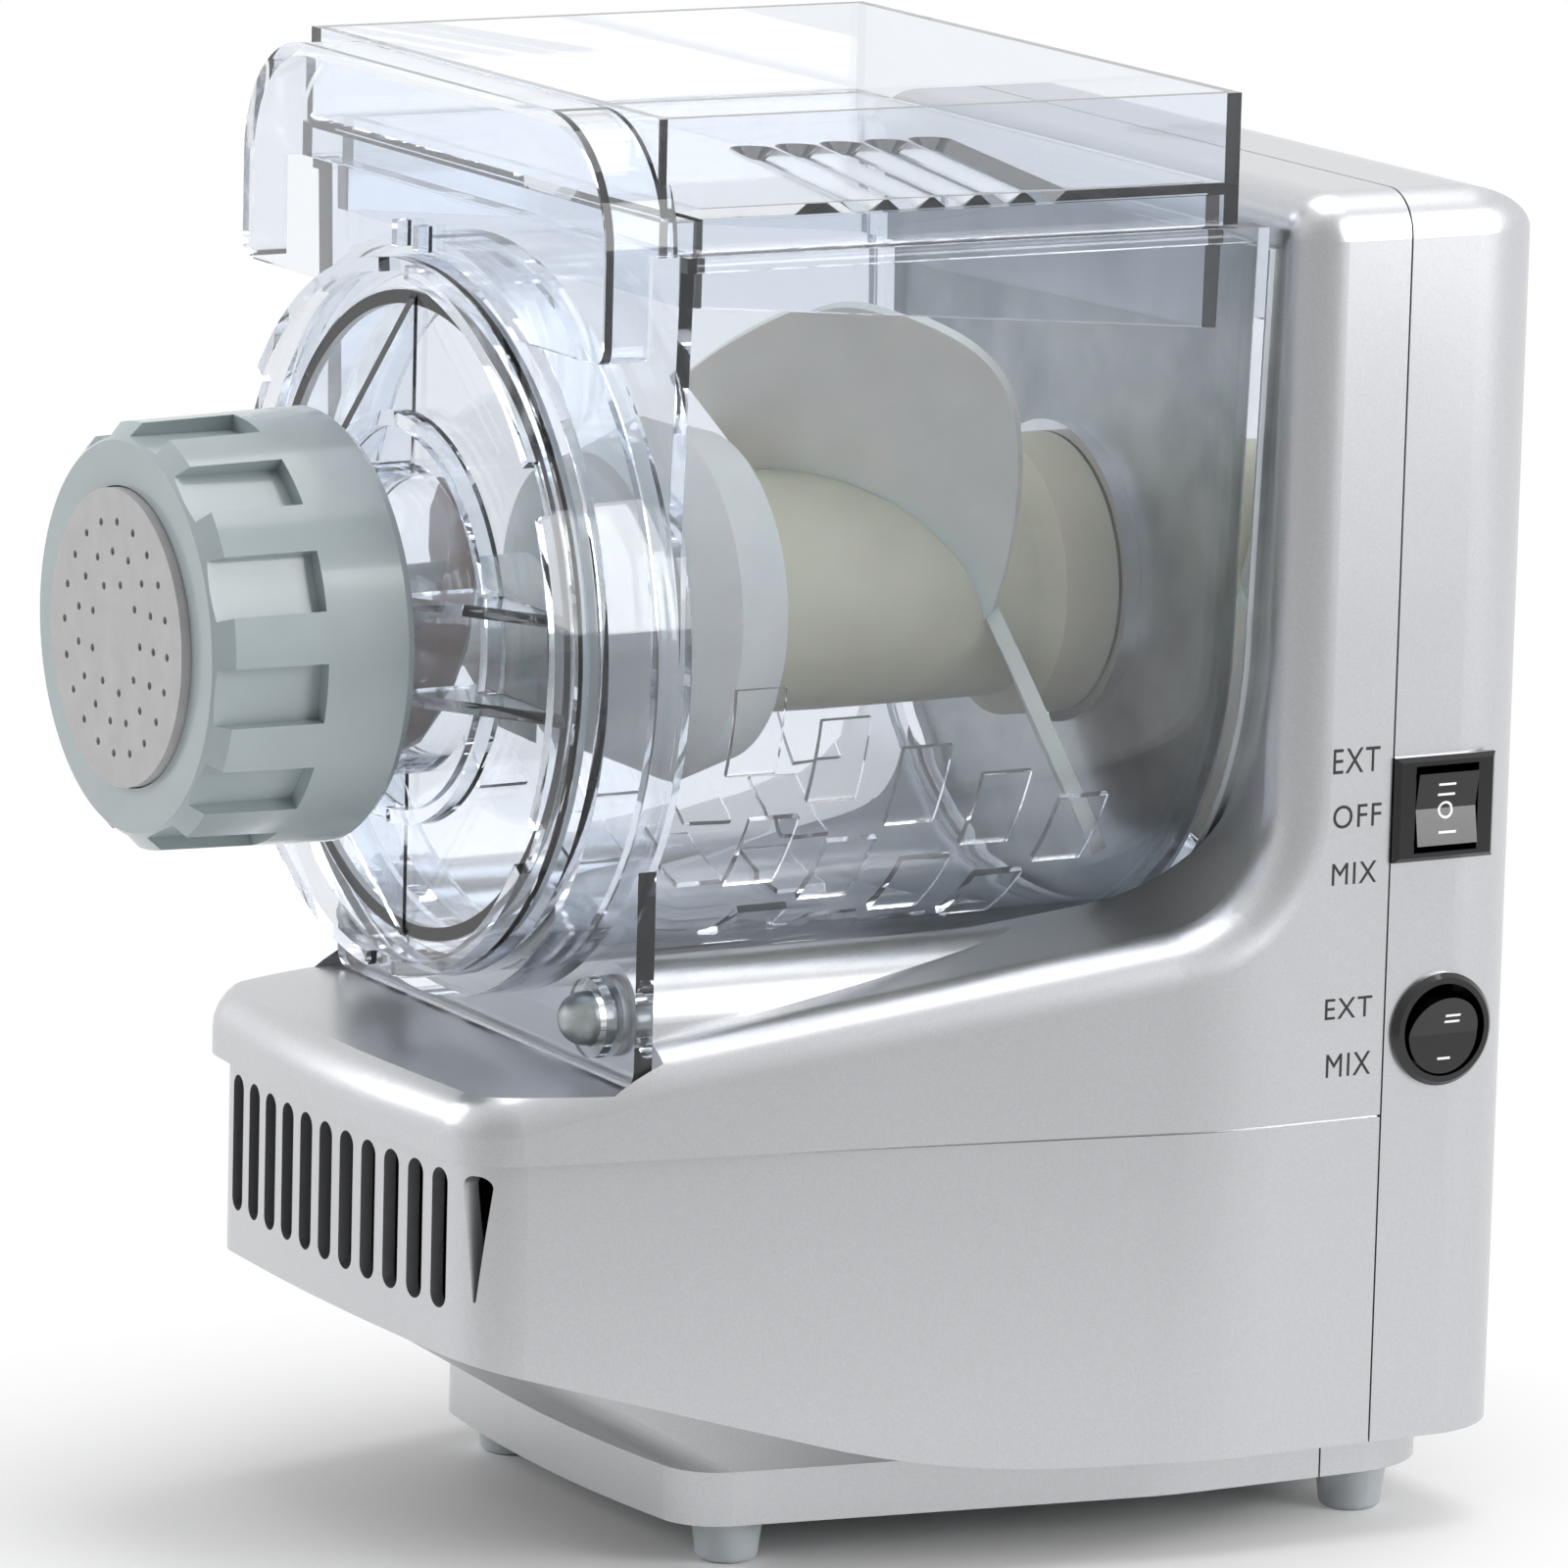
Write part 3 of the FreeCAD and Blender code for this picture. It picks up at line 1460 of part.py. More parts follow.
os.makedirs("parts", exist_ok=True)
shell = housing()
front_shell = shell.common(slab(-1, seam - parting / 2))
rear_shell = shell.common(slab(seam + parting / 2, machine_length + 1))
front_shell = front_shell.fuse(housing_posts()).removeSplitter()
front_shell = front_shell.cut(post_holes() + [rod(seal_r, tower_front - 1,
                                                  tower_front + wall + 1)])
gland_hole = rod(gland_r - 1.5, machine_length - wall - 1, machine_length + 1, gland_x, gland_z)
rear_shell = rear_shell.cut(switch_cutouts() + [gland_hole])
save("front_housing", front_shell)
save("rear_cover", rear_shell)
save("base_plate", base_plate())
save("feet", feet())
save("foot_screws", foot_screws())
save("locating_pins", locating_pins())
save("back_plate", back_plate())
save("chamber_seal", chamber_seal())
save("hub_ring", hub_ring())
save("shaft_seal", shaft_seal())
save("mixing_chamber", mixing_chamber())
save("lid", lid())
save("front_cover", front_cover())
save("cover_seal", cover_seal())
save("die_disc", die_disc())
save("die_nut", die_nut())
save("paddle_hub", paddle_hub())
save("mixing_blades", mixing_blades())
save("extrusion_screw", extrusion_screw())
save("drive_shaft", drive_shaft())
save("shaft_bushes", shaft_bushes())
for name, shape in gears().items():
    save(name, shape)
save("front_gear_plate", gear_plate(gear_plate_front, True))
save("rear_gear_plate", gear_plate(gear_plate_rear, False))
save("gear_pillars", gear_pillars())
save("gear_axles", gear_axles())
save("gearbox_screws", gearbox_screws())
save("motor_shaft", motor_rod(motor_shaft_r, motor_front, motor_shaft_rear))
save("stator_core", stator_core())
save("field_windings", field_windings())
save("armature_core", armature())
save("armature_windings", armature_windings())
save("commutator", commutator())
save("carbon_brushes", carbon_brushes())
save("brush_holders", brush_holders())
save("front_motor_bracket", motor_bracket(front_bracket_station))
save("rear_motor_bracket", motor_bracket(rear_bracket_station))
save("motor_bearings", motor_bearings())
save("motor_ties", motor_ties())
save("cooling_fan", cooling_fan())
save("motor_saddles", motor_saddles())
save("terminal_block", terminal_block())
save("capacitor", capacitor())
save("cord_gland", cord_gland())
save("switch_frame", switch_frame())
save("switch_rocker", switch_rocker())
save("round_switch_frame", round_frame())
save("round_switch_rocker", round_rocker())
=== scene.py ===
# %% [markdown]
# An electric pasta maker, dressed around its measured solids.
# The solids come first and stay where they are. Each gets a finish, and the only pieces
# added are printed words and marks, which are laid on the solids' own surfaces.

# %% Load the measured model
import json
import math
import bmesh
import bpy
from mathutils import Matrix, Vector
from mathutils.bvhtree import BVHTree


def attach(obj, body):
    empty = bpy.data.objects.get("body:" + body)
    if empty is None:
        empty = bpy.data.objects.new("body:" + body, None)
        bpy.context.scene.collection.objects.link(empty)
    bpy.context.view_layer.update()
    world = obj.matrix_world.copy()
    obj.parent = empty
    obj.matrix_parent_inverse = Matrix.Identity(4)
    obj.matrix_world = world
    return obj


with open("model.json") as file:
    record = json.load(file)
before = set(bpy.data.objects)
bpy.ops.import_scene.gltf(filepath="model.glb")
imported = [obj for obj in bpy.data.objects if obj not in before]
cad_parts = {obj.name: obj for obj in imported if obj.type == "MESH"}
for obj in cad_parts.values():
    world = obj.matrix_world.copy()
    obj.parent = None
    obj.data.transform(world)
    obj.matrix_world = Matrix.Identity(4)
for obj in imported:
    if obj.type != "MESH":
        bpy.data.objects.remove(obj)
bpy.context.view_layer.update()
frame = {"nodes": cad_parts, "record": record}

# %% [markdown]
# The photograph was taken with a long lens, from the front right and a little above.
# A camera is placed from two angles, a roll and a distance, because these are what a
# photographer sets on a tripod.

# %% Camera
AROUND = math.radians(60.52)
ABOVE = math.radians(11.14)
ROLL = math.radians(1.48)
DISTANCE = 2.170
LOOK_AT = Vector((0.0, 0.01172, 0.1455))
LENS = 247.5

towards = Vector((math.sin(AROUND) * math.cos(ABOVE), -math.cos(AROUND) * math.cos(ABOVE),
                  math.sin(ABOVE)))
level = Vector((math.cos(AROUND), math.sin(AROUND), 0.0))
upright = towards.cross(level)
right = level * math.cos(ROLL) + upright * math.sin(ROLL)
above = upright * math.cos(ROLL) - level * math.sin(ROLL)
camera = bpy.data.objects.new("camera", bpy.data.cameras.new("camera"))
bpy.context.scene.collection.objects.link(camera)
camera.matrix_world = Matrix((
    (right.x, above.x, towards.x, 0), (right.y, above.y, towards.y, 0),
    (right.z, above.z, towards.z, 0), (0, 0, 0, 1)))
camera.matrix_world.translation = LOOK_AT + towards * DISTANCE
camera.data.lens = LENS
camera.data.sensor_width = 36.0
camera.data.clip_end = 20.0
bpy.context.scene.camera = camera
print("camera at", [round(v, 3) for v in camera.matrix_world.translation])

# %% [markdown]
# Clear plastic is seen through many walls at once here: the lid, the flap, the front
# cover and both sides of the chamber. Each wall costs a ray two bounces, so the scene
# allows more of them than usual. The view transform is plain, so white stays white.

# %% Scene settings
scene = bpy.context.scene
scene.view_settings.view_transform = "Standard"
scene.cycles.max_bounces = 28
scene.cycles.transmission_bounces = 28
scene.cycles.glossy_bounces = 6
scene.cycles.transparent_max_bounces = 24
scene.cycles.caustics_reflective = False

# %% [markdown]
# Two helpers serve every finish. The first turns a colour as a designer writes it into
# the linear numbers that a shader takes. The second adds one node, sets its sockets
# and plugs links into it.

# %% Colour and node helpers
def linear(code):
    channels = []
    for at in (0, 2, 4):
        value = int(code[at:at + 2], 16) / 255
        channels.append(value / 12.92 if value <= 0.04045 else ((value + 0.055) / 1.055) ** 2.4)
    return (*channels, 1.0)


def add_node(tree, kind, sockets=None, **settings):
    node = tree.nodes.new(kind)
    for name, value in settings.items():
        setattr(node, name, value)
    for name, value in (sockets or {}).items():
        socket = node.inputs[name]
        if isinstance(value, bpy.types.NodeSocket):
            tree.links.new(value, socket)
        else:
            socket.default_value = value
    return node


def new_finish(name):
    finish = bpy.data.materials.new(name)
    finish.use_nodes = True
    tree = finish.node_tree
    tree.nodes.clear()
    place = add_node(tree, "ShaderNodeTexCoord").outputs["Object"]
    out = add_node(tree, "ShaderNodeOutputMaterial")
    return finish, tree, place, out


def blend_colours(tree, share, first, second):
    mix = add_node(tree, "ShaderNodeMix", {"Factor": share}, data_type="RGBA")
    ends = [socket for socket in mix.inputs if socket.type == "RGBA"]
    ends[0].default_value = linear(first)
    ends[1].default_value = linear(second)
    return next(socket for socket in mix.outputs if socket.type == "RGBA")


def spread(tree, value, low, high, out_low=0.0, out_high=1.0):
    return add_node(tree, "ShaderNodeMapRange", {
        "Value": value, "From Min": low, "From Max": high, "To Min": out_low,
        "To Max": out_high}).outputs["Result"]


# %% [markdown]
# Pattern scales are worked out from real sizes. A noise texture of scale 1 has cells of
# about one metre on Object coordinates, so a grain of so many millimetres needs the
# scale that this function gives.

# %% Pattern scale from millimetres
def grain(millimetres):
    return 1000.0 / millimetres


# %% [markdown]
# The housing is moulded ABS with a coat of silver paint. Aluminium flakes lie nearly
# flat in the paint, so it mirrors the room softly like satin metal, brighter and darker
# as the walls turn. Real flakes measure a few hundredths of a millimetre, too fine to
# show, so they are drawn 0.25 mm wide. Each tilts a very little.

# %% Silver paint
def silver_paint():
    finish, tree, place, out = new_finish("silver_paint_on_abs")
    flakes = add_node(tree, "ShaderNodeTexVoronoi", {"Vector": place, "Scale": grain(0.25)})
    cloud = add_node(tree, "ShaderNodeTexNoise", {"Vector": place, "Scale": grain(70)})
    tilt = spread(tree, flakes.outputs["Color"], 0, 1)
    base = blend_colours(tree, tilt, "C2C3C6", "CDCED1")
    rough = spread(tree, cloud.outputs["Fac"], 0.3, 0.7, 0.30, 0.34)
    bump = add_node(tree, "ShaderNodeBump", {"Height": tilt, "Strength": 0.04,
                                             "Distance": 0.00002})
    shader = add_node(tree, "ShaderNodeBsdfPrincipled", {
        "Base Color": base, "Metallic": 0.88, "Roughness": rough, "Coat Weight": 0.1,
        "Coat Roughness": 0.2, "Normal": bump.outputs["Normal"]})
    tree.links.new(shader.outputs["BSDF"], out.inputs["Surface"])
    return finish


# %% [markdown]
# The chamber, its lid and its front are moulded clear plastic, either SAN or
# polycarbonate. Such a plastic has a refractive index near 1.57. It is set lower here, at
# 1.46, because the thick walls then darken less along their edges. About three
# hundredths of the light is scattered, which keeps long cut edges paler than in glass,
# and a slight waviness keeps highlights from being ruler straight.

# %% Clear plastic
def clear_plastic():
    finish, tree, place, out = new_finish("clear_moulded_plastic")
    wave = add_node(tree, "ShaderNodeTexNoise", {"Vector": place, "Scale": grain(30)})
    fine = add_node(tree, "ShaderNodeTexNoise", {"Vector": place, "Scale": grain(1.5)})
    bump = add_node(tree, "ShaderNodeBump", {"Height": wave.outputs["Fac"], "Strength": 0.06,
                                             "Distance": 0.0004})
    rough = spread(tree, fine.outputs["Fac"], 0.4, 0.7, 0.0, 0.03)
    tint = blend_colours(tree, fine.outputs["Fac"], "F3F7FD", "F9FBFE")
    shader = add_node(tree, "ShaderNodeBsdfPrincipled", {
        "Base Color": tint, "Roughness": rough, "IOR": 1.46, "Transmission Weight": 0.972,
        "Normal": bump.outputs["Normal"]})
    tree.links.new(shader.outputs["BSDF"], out.inputs["Surface"])
    return finish


# %% [markdown]
# Moulded plastics and rubbers differ in their colours, their gloss and the grain of the
# mould. Milky ones also let light in under the surface, and glossy ones shine as if they
# were lacquered. One function makes them all, and the printing inks, from those values.

# %% Plastics, rubbers and inks
def moulded(name, first, second, rough, grain_mm=0.6, depth_mm=0.02, patch_mm=12.0, **more):
    finish, tree, place, out = new_finish(name)
    patch = add_node(tree, "ShaderNodeTexNoise", {"Vector": place, "Scale": grain(patch_mm),
                                                  "Detail": 4.0})
    fine = add_node(tree, "ShaderNodeTexNoise", {"Vector": place, "Scale": grain(grain_mm)})
    share = spread(tree, patch.outputs["Fac"], 0.3, 0.7)
    colour = blend_colours(tree, share, first, second)
    gloss = spread(tree, fine.outputs["Fac"], 0.3, 0.7, rough * 0.85, rough * 1.15)
    bump = add_node(tree, "ShaderNodeBump", {"Height": fine.outputs["Fac"], "Strength": 0.35,
                                             "Distance": depth_mm / 1000})
    sockets = {"Base Color": colour, "Roughness": gloss, "Normal": bump.outputs["Normal"]}
    for socket, value in more.items():
        sockets[socket.replace("_", " ")] = value
    shader = add_node(tree, "ShaderNodeBsdfPrincipled", sockets)
    tree.links.new(shader.outputs["BSDF"], out.inputs["Surface"])
    return finish


# %% [markdown]
# Metals: the plate behind the chamber is blasted steel, dull and cloudy. Turned parts
# have fine rings, and polished ones mirror the room. A metal's colour is its mirror
# colour, so no metal here needs a refractive index.

# %% Metals
def metal(name, first, second, rough, grain_mm, depth_mm=0.01, patch_mm=15.0, stretch=(1, 1, 1)):
    finish, tree, place, out = new_finish(name)
    turned = add_node(tree, "ShaderNodeMapping", {"Vector": place, "Scale": stretch})
    vector = turned.outputs["Vector"]
    patch = add_node(tree, "ShaderNodeTexNoise", {"Vector": vector, "Scale": grain(patch_mm),
                                                  "Detail": 5.0})
    fine = add_node(tree, "ShaderNodeTexNoise", {"Vector": vector, "Scale": grain(grain_mm)})
    share = spread(tree, patch.outputs["Fac"], 0.35, 0.65)
    colour = blend_colours(tree, share, first, second)
    gloss = spread(tree, patch.outputs["Fac"], 0.3, 0.7, rough * 0.8, rough * 1.2)
    bump = add_node(tree, "ShaderNodeBump", {"Height": fine.outputs["Fac"], "Strength": 0.4,
                                             "Distance": depth_mm / 1000})
    shader = add_node(tree, "ShaderNodeBsdfPrincipled", {
        "Base Color": colour, "Metallic": 1.0, "Roughness": gloss,
        "Normal": bump.outputs["Normal"]})
    tree.links.new(shader.outputs["BSDF"], out.inputs["Surface"])
    return finish


# %% [markdown]
# Each finish is named for the real material and given to the solids it belongs to. The
# table keeps the names of the record's slots beside them, so that a later repaint finds
# the same pieces.

# %% Make the finishes
finishes = {
    "silver_housing": silver_paint(),
    "base_plastic": moulded("grey_abs_base", "A4A6A8", "B0B2B3", 0.5),
    "foot_rubber": moulded("pale_silicone_foot", "C9D0D6", "D8DEE2", 0.42,
                           Transmission_Weight=0.25, IOR=1.41),
    "screw_steel": metal("zinc_plated_screw", "B4B6B4", "C8C9C4", 0.35, 0.4),
    "satin_steel": metal("blasted_steel", "8F9698", "B9BEBF", 0.45, 0.35, 0.03, 22.0),
    "polished_steel": metal("polished_steel", "C9CBCD", "DADCDD", 0.12, 0.3),
    "silicone_seal": moulded("silicone_seal", "CBD3DA", "DAE0E5", 0.4),
    "clear_plastic": clear_plastic(),
    "nut_plastic": moulded("grey_green_abs", "9BA6A9", "A2ADB0", 0.2, 0.9, 0.006, 25.0,
                           Coat_Weight=0.3, Coat_Roughness=0.08),
    "die_plastic": moulded("matt_acetal_die", "AEADAE", "B7B6B7", 0.62, 0.5, 0.05, 6.0),
    "hub_plastic": moulded("cream_polypropylene", "CFCCB4", "DAD7C2", 0.36, 0.8, 0.02, 18.0,
                           Subsurface_Weight=0.25, Subsurface_Scale=0.01),
    "paddle_plastic": moulded("milky_polypropylene", "E4E8E2", "EEF1EB", 0.36, 0.8, 0.02, 14.0,
                              Subsurface_Weight=0.35, Subsurface_Scale=0.006),
    "screw_plastic": moulded("milky_screw_polypropylene", "DDE1E0", "E8EBE9", 0.42, 0.8, 0.02,
                             14.0, Subsurface_Weight=0.35, Subsurface_Scale=0.006),
    "bush_bronze": metal("sintered_bronze", "A8804F", "BB9562", 0.45, 0.3, 0.02),
    "gear_plastic": moulded("natural_acetal_gear", "E6E3D8", "EEECE3", 0.35),
    "pinion_steel": metal("machined_steel", "8E9092", "A6A8AA", 0.3, 0.4, 0.01, 4.0, (1, 8, 1)),
    "plate_steel": metal("zinc_plated_sheet", "A9ADAC", "C3C6C2", 0.4, 0.5, 0.01, 9.0),
    "core_steel": metal("laminated_steel", "55585C", "6C6F73", 0.5, 0.5, 0.03, 0.9,
                        (0.05, 1, 0.05)),
    "copper_winding": metal("enamelled_copper", "A0552B", "C27646", 0.32, 0.5, 0.05, 0.7,
                            (1, 0.1, 1)),
    "carbon": moulded("pressed_carbon", "1B1B1C", "2A2A2B", 0.6),
    "black_plastic": moulded("black_nylon", "141415", "1E1E20", 0.5),
    "switch_black": moulded("glossy_black_switch", "060607", "0C0C0D", 0.14, 0.7, 0.004,
                            Coat_Weight=0.4, Coat_Roughness=0.06),
}
white_print = moulded("white_pad_print", "E9EAEA", "F2F2F2", 0.45)
black_print = moulded("black_pad_print", "1A1A1B", "232324", 0.45)
print(len(finishes), "finishes")

# %% Give every solid its finish
for entry in frame["record"]["subparts"]:
    solid = frame["nodes"][entry["node"]]
    solid.data.materials.clear()
    solid.data.materials.append(finishes[entry["material_slot"]])

# %% [markdown]
# The words beside the switches are pad printed: a silicone pad lays a film of ink a few
# hundredths of a millimetre thick. Each word is a text curve, turned into a mesh and
# then laid on the wall behind it: a ray from every corner finds the surface, so the
# film follows it wherever it goes. The rays start outside the machine, on the side that
# carries the words and the switches.

# %% A thin mark laid on a solid
FILM = 0.00004
RAY_START = 0.2


def surface_of(node):
    mesh = frame["nodes"][node].data
    return BVHTree.FromPolygons([corner.co.copy() for corner in mesh.vertices],
                                [list(face.vertices) for face in mesh.polygons])


def lay_on(mesh, surface):
    # A mark drawn round x = 0, its outer face at positive x, moves on to the surface.
    for corner in mesh.vertices:
        start = Vector((RAY_START, corner.co.y, corner.co.z))
        hit = surface.ray_cast(start, Vector((-1.0, 0.0, 0.0)))[0]
        corner.co.x = hit.x + (FILM if corner.co.x > 0 else -FILM)


def finish_piece(name, mesh, finish, body):
    # The record has no slot for ink, so a mark takes none.
    work = bmesh.new()
    work.from_mesh(mesh)
    bmesh.ops.remove_doubles(work, verts=work.verts, dist=1e-7)
    bmesh.ops.recalc_face_normals(work, faces=work.faces)
    work.to_mesh(mesh)
    work.free()
    mesh.materials.clear()
    mesh.materials.append(finish)
    piece = bpy.data.objects.new(name, mesh)
    bpy.context.scene.collection.objects.link(piece)
    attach(piece, body)
    print(name, len(mesh.polygons), "faces")


# %% The words
# Each row is a word, its left and right edges along Y, and its foot and head along Z,
# all in metres.
LETTER_GAP = 1.12
WORDS = [("EXT", 0.0864, 0.0973, 0.1581, 0.1631), ("OFF", 0.0868, 0.0980, 0.1470, 0.1517),
         ("MIX", 0.0870, 0.0974, 0.1356, 0.1400), ("EXT", 0.0865, 0.0975, 0.1084, 0.1126),
         ("MIX", 0.0872, 0.0976, 0.0966, 0.1013)]


def word_mesh(word, y0, y1, z0, z1):
    curve = bpy.data.curves.new(word, "FONT")
    curve.body = word
    # Any depth serves, because laying a mark on its surface sets both its faces anew.
    curve.extrude = 0.5
    curve.space_character = LETTER_GAP
    curve.resolution_u = 4
    holder = bpy.data.objects.new(word, curve)
    bpy.context.scene.collection.objects.link(holder)
    graph = bpy.context.evaluated_depsgraph_get()
    mesh = bpy.data.meshes.new_from_object(holder.evaluated_get(graph))
    bpy.data.objects.remove(holder)
    across = [corner.co.x for corner in mesh.vertices]
    up = [corner.co.y for corner in mesh.vertices]
    for corner in mesh.vertices:
        share_y = (corner.co.x - min(across)) / (max(across) - min(across))
        share_z = (corner.co.y - min(up)) / (max(up) - min(up))
        corner.co = Vector((corner.co.z, y0 + share_y * (y1 - y0), z0 + share_z * (z1 - z0)))
    return mesh


side_wall = surface_of("front_housing")
for number, (word, *edges) in enumerate(WORDS):
    mesh = word_mesh(word, *edges)
    lay_on(mesh, side_wall)
    finish_piece("printed_" + word.lower() + "_" + str(number), mesh, black_print, "base")

# %% [markdown]
# The rockers carry white marks: two bars for one way, one bar for the other and a ring
# for off. A small Geometry Nodes tree makes the bars, because they are one shape
# repeated along a line, with the count, the pitch and the size as its inputs.

# %% Bars from Geometry Nodes
def bar_tree():
    tree = bpy.data.node_groups.new("switch_bars", "GeometryNodeTree")
    made = {}
    for name, kind in (("Count", "NodeSocketInt"), ("Pitch", "NodeSocketFloat"),
                       ("Length", "NodeSocketFloat"), ("Stroke", "NodeSocketFloat"),
                       ("Ink", "NodeSocketMaterial")):
        made[name] = tree.interface.new_socket(name, in_out="INPUT", socket_type=kind)
    tree.interface.new_socket("Bars", in_out="OUTPUT", socket_type="NodeSocketGeometry")
    given = tree.nodes.new("NodeGroupInput").outputs
    offset = add_node(tree, "ShaderNodeCombineXYZ", {"Z": given["Pitch"]})
    line = add_node(tree, "GeometryNodeMeshLine", {"Count": given["Count"],
                                                   "Offset": offset.outputs[0]})
    size = add_node(tree, "ShaderNodeCombineXYZ", {"X": 1.0, "Y": given["Length"],
                                                   "Z": given["Stroke"]})
    bar = add_node(tree, "GeometryNodeMeshCube", {"Size": size.outputs[0]})
    copies = add_node(tree, "GeometryNodeInstanceOnPoints", {
        "Points": line.outputs["Mesh"], "Instance": bar.outputs["Mesh"]})
    real = add_node(tree, "GeometryNodeRealizeInstances", {"Geometry": copies.outputs[0]})
    inked = add_node(tree, "GeometryNodeSetMaterial", {"Geometry": real.outputs[0],
                                                       "Material": given["Ink"]})
    out = tree.nodes.new("NodeGroupOutput")
    tree.links.new(inked.outputs[0], out.inputs["Bars"])
    return tree, {name: socket.identifier for name, socket in made.items()}


bars, bar_inputs = bar_tree()


def bar_mesh(y, z, **sizes):
    mesh = bpy.data.meshes.new("bars")
    holder = bpy.data.objects.new("bars", mesh)
    bpy.context.scene.collection.objects.link(holder)
    maker = holder.modifiers.new("bars", "NODES")
    maker.node_group = bars
    for name, value in sizes.items():
        maker[bar_inputs[name]] = value
    maker[bar_inputs["Ink"]] = white_print
    graph = bpy.context.evaluated_depsgraph_get()
    plain = bpy.data.meshes.new_from_object(holder.evaluated_get(graph))
    holder.modifiers.remove(maker)
    bpy.data.objects.remove(holder)
    for corner in plain.vertices:
        corner.co += Vector((0.0, y, z))
    return plain


# %% Marks on the two rockers
rocker = surface_of("switch_rocker")
round_rocker = surface_of("round_switch_rocker")
# Name, surface, body, middle along Y, lowest bar's height, count, pitch, length, stroke.
MARKS = [
    ("upper_extrude_bars", rocker, "selector", 0.1120, 0.1526, 2, 0.0021, 0.0040, 0.0005),
    ("upper_mix_bar", rocker, "selector", 0.1123, 0.1450, 1, 0.0, 0.0041, 0.0005),
    ("lower_extrude_bars", round_rocker, "power_rocker", 0.1152, 0.1062, 2, 0.0013, 0.0035,
     0.0005),
    ("lower_mix_bar", round_rocker, "power_rocker", 0.1140, 0.0986, 1, 0.0, 0.0030, 0.0005),
]
for name, surface, body, y, z, count, pitch, length, stroke in MARKS:
    mesh = bar_mesh(y, z, Count=count, Pitch=pitch, Length=length, Stroke=stroke)
    lay_on(mesh, surface)
    finish_piece(name, mesh, white_print, body)

# %% [markdown]
# The ring could be a torus, but ink is flat. Four loops of points, inner and outer, low
# and high, make a closed flat band that the same ray casting lays on the rocker.

# %% The ring for off
def ring_mesh(y, z, radius, stroke, sides=40):
    work = bmesh.new()
    loops = []
    for r, x in ((radius - stroke / 2, -1), (radius - stroke / 2, 1),
                 (radius + stroke / 2, 1), (radius + stroke / 2, -1)):
        loops.append([work.verts.new((x, y + r * math.cos(2 * math.pi * i / sides),
                                      z + r * math.sin(2 * math.pi * i / sides)))
                      for i in range(sides)])
    for k in range(4):
        near, far = loops[k], loops[(k + 1) % 4]
        for i in range(sides):
            j = (i + 1) % sides
            work.faces.new((near[i], near[j], far[j], far[i]))
    mesh = bpy.data.meshes.new("off_ring")
    work.to_mesh(mesh)
    work.free()
    return mesh


mesh = ring_mesh(y=0.1121, z=0.1494, radius=0.0015, stroke=0.0005)
lay_on(mesh, rocker)
finish_piece("off_ring", mesh, white_print, "selector")

# %% [markdown]
# A bounding surface at rest under the machine: a pale floor that runs out of view. Near
# the machine it is a real floor with the machine's shadow on it. Further out the camera,
# the clear plastic and the silver get plain white from it, with painted shade: that white
# is made darker on the side where the photographer stands, as a table is away from its
# lamps, and the silver mirrors that painted shade as a darker corner.

# %% Floor
# Painted shade: the white is made darker towards one side, between two distances from the
# middle in metres. The shadow's reach is in metres too, and it fades out between two
# multiples of that reach.
DIM_SIDE = (0.87, -0.49, 0.0)
PAINTED_SHADE_SPAN = (0.18, 0.45)
DIMMEST = 0.6
FLOOR_HALF = 3.0
SHADOW_REACH = (0.085, 0.14)
FADE_SPAN = (0.9, 2.0)


def seen_or_mirrored(tree):
    path = add_node(tree, "ShaderNodeLightPath").outputs
    either = add_node(tree, "ShaderNodeMath", {0: path["Is Camera Ray"],
                                               1: path["Is Transmission Ray"]},
                      operation="MAXIMUM")
    return add_node(tree, "ShaderNodeMath", {0: either.outputs[0], 1: path["Is Glossy Ray"]},
                    operation="MAXIMUM").outputs[0]


floor_mesh = bpy.data.meshes.new("floor")
floor_mesh.from_pydata([(-FLOOR_HALF, -FLOOR_HALF, 0), (FLOOR_HALF, -FLOOR_HALF, 0),
                        (FLOOR_HALF, FLOOR_HALF, 0), (-FLOOR_HALF, FLOOR_HALF, 0)], [],
                       [(0, 1, 2, 3)])
floor = bpy.data.objects.new("floor", floor_mesh)
bpy.context.scene.collection.objects.link(floor)
finish, tree, place, out = new_finish("pale_floor")
cloud = add_node(tree, "ShaderNodeTexNoise", {"Vector": place, "Scale": grain(300)})
shade = blend_colours(tree, cloud.outputs["Fac"], "F6F6F6", "F9F9F9")
real = add_node(tree, "ShaderNodeBsdfPrincipled", {"Base Color": shade, "Roughness": 0.6})
toward = add_node(tree, "ShaderNodeVectorMath", {0: place, 1: DIM_SIDE},
                  operation="DOT_PRODUCT")
# Painted shade: the floor's white emission grows darker towards DIM_SIDE, down to DIMMEST.
painted_floor_shade = spread(tree, toward.outputs["Value"], *PAINTED_SHADE_SPAN, 1.0, DIMMEST)
white = add_node(tree, "ShaderNodeEmission", {"Color": linear("FFFFFF"), "Strength": painted_floor_shade})
oval = add_node(tree, "ShaderNodeMapping", {
    "Vector": place, "Scale": (1 / SHADOW_REACH[0], 1 / SHADOW_REACH[1], 1)})
away = add_node(tree, "ShaderNodeVectorMath", {0: oval.outputs["Vector"]}, operation="LENGTH")
fade = spread(tree, away.outputs["Value"], *FADE_SPAN)
share = add_node(tree, "ShaderNodeMath", {0: seen_or_mirrored(tree), 1: fade},
                 operation="MULTIPLY")
both = add_node(tree, "ShaderNodeMixShader", {0: share.outputs[0], 1: real.outputs[0],
                                              2: white.outputs[0]})
tree.links.new(both.outputs[0], out.inputs["Surface"])
floor_mesh.materials.append(finish)
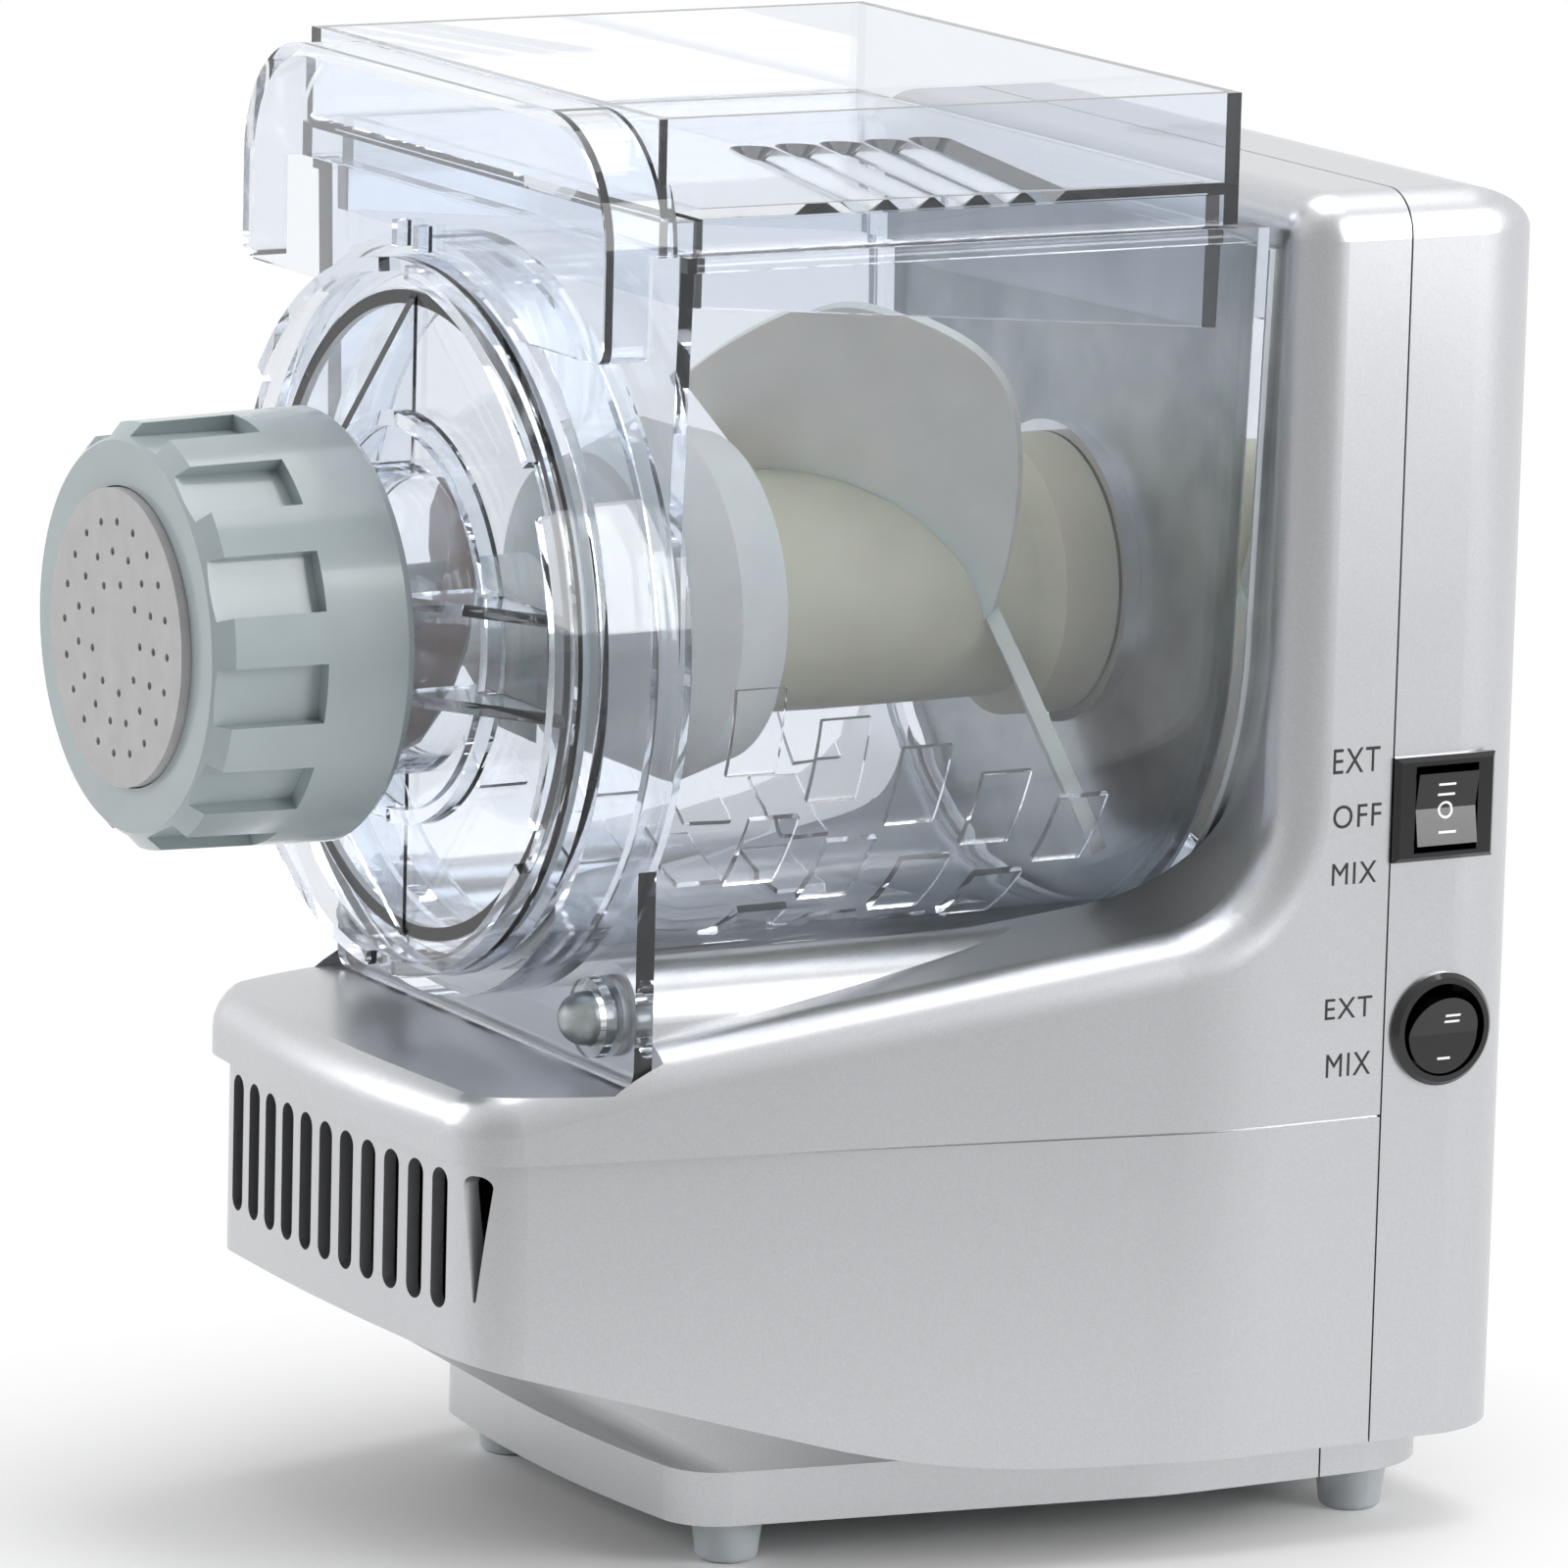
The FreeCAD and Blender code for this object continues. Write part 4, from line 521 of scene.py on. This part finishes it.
print("floor of", 2 * FLOOR_HALF, "m, its shadow kept to", SHADOW_REACH, "m")

# %% [markdown]
# The light is a white studio with a darker side behind the photographer, and that is
# what gives satin silver its form: walls that face the room turn bright, and the corner
# that faces that side turns darker. Three soft boxes do the rest, one on each side and
# one above.

# %% Room
# Both strengths fall towards the dim side: what lights the machine, and what is seen of
# the room, straight on, through the clear plastic or mirrored.
world = bpy.data.worlds.new("white_room")
bpy.context.scene.world = world
world.use_nodes = True
tree = world.node_tree
tree.nodes.clear()
outlook = add_node(tree, "ShaderNodeTexCoord").outputs["Generated"]
facing = add_node(tree, "ShaderNodeVectorMath", {0: outlook, 1: DIM_SIDE},
                  operation="DOT_PRODUCT")
lighting = spread(tree, facing.outputs["Value"], 0.3, 0.95, 0.6, 0.2)
shown = spread(tree, facing.outputs["Value"], 0.45, 0.9, 1.0, DIMMEST)
room = add_node(tree, "ShaderNodeBackground", {"Color": linear("FFFFFF"), "Strength": lighting})
white = add_node(tree, "ShaderNodeBackground", {"Color": linear("FFFFFF"), "Strength": shown})
both = add_node(tree, "ShaderNodeMixShader", {0: seen_or_mirrored(tree), 1: room.outputs[0],
                                              2: white.outputs[0]})
add_node(tree, "ShaderNodeOutputWorld", {"Surface": both.outputs[0]})
print("room of", len(tree.nodes), "nodes")

# %% Soft boxes
MIDDLE = (0.0, 0.0, 0.12)


def soft_box(name, place, width, height, power):
    lamp = bpy.data.lights.new(name, "AREA")
    lamp.shape = "RECTANGLE"
    lamp.size = width
    lamp.size_y = height
    lamp.energy = power
    holder = bpy.data.objects.new(name, lamp)
    bpy.context.scene.collection.objects.link(holder)
    holder.location = place
    holder.rotation_euler = (Vector(MIDDLE) - Vector(place)).to_track_quat("-Z", "Y").to_euler()
    print(name, power, "W")


soft_box("left_soft_box", (-0.9, -1.2, 0.8), 0.8, 0.9, 9)
soft_box("right_soft_box", (0.95, 0.75, 0.6), 0.7, 0.8, 9)
soft_box("top_soft_box", (0.0, 0.2, 1.5), 1.1, 1.1, 10)
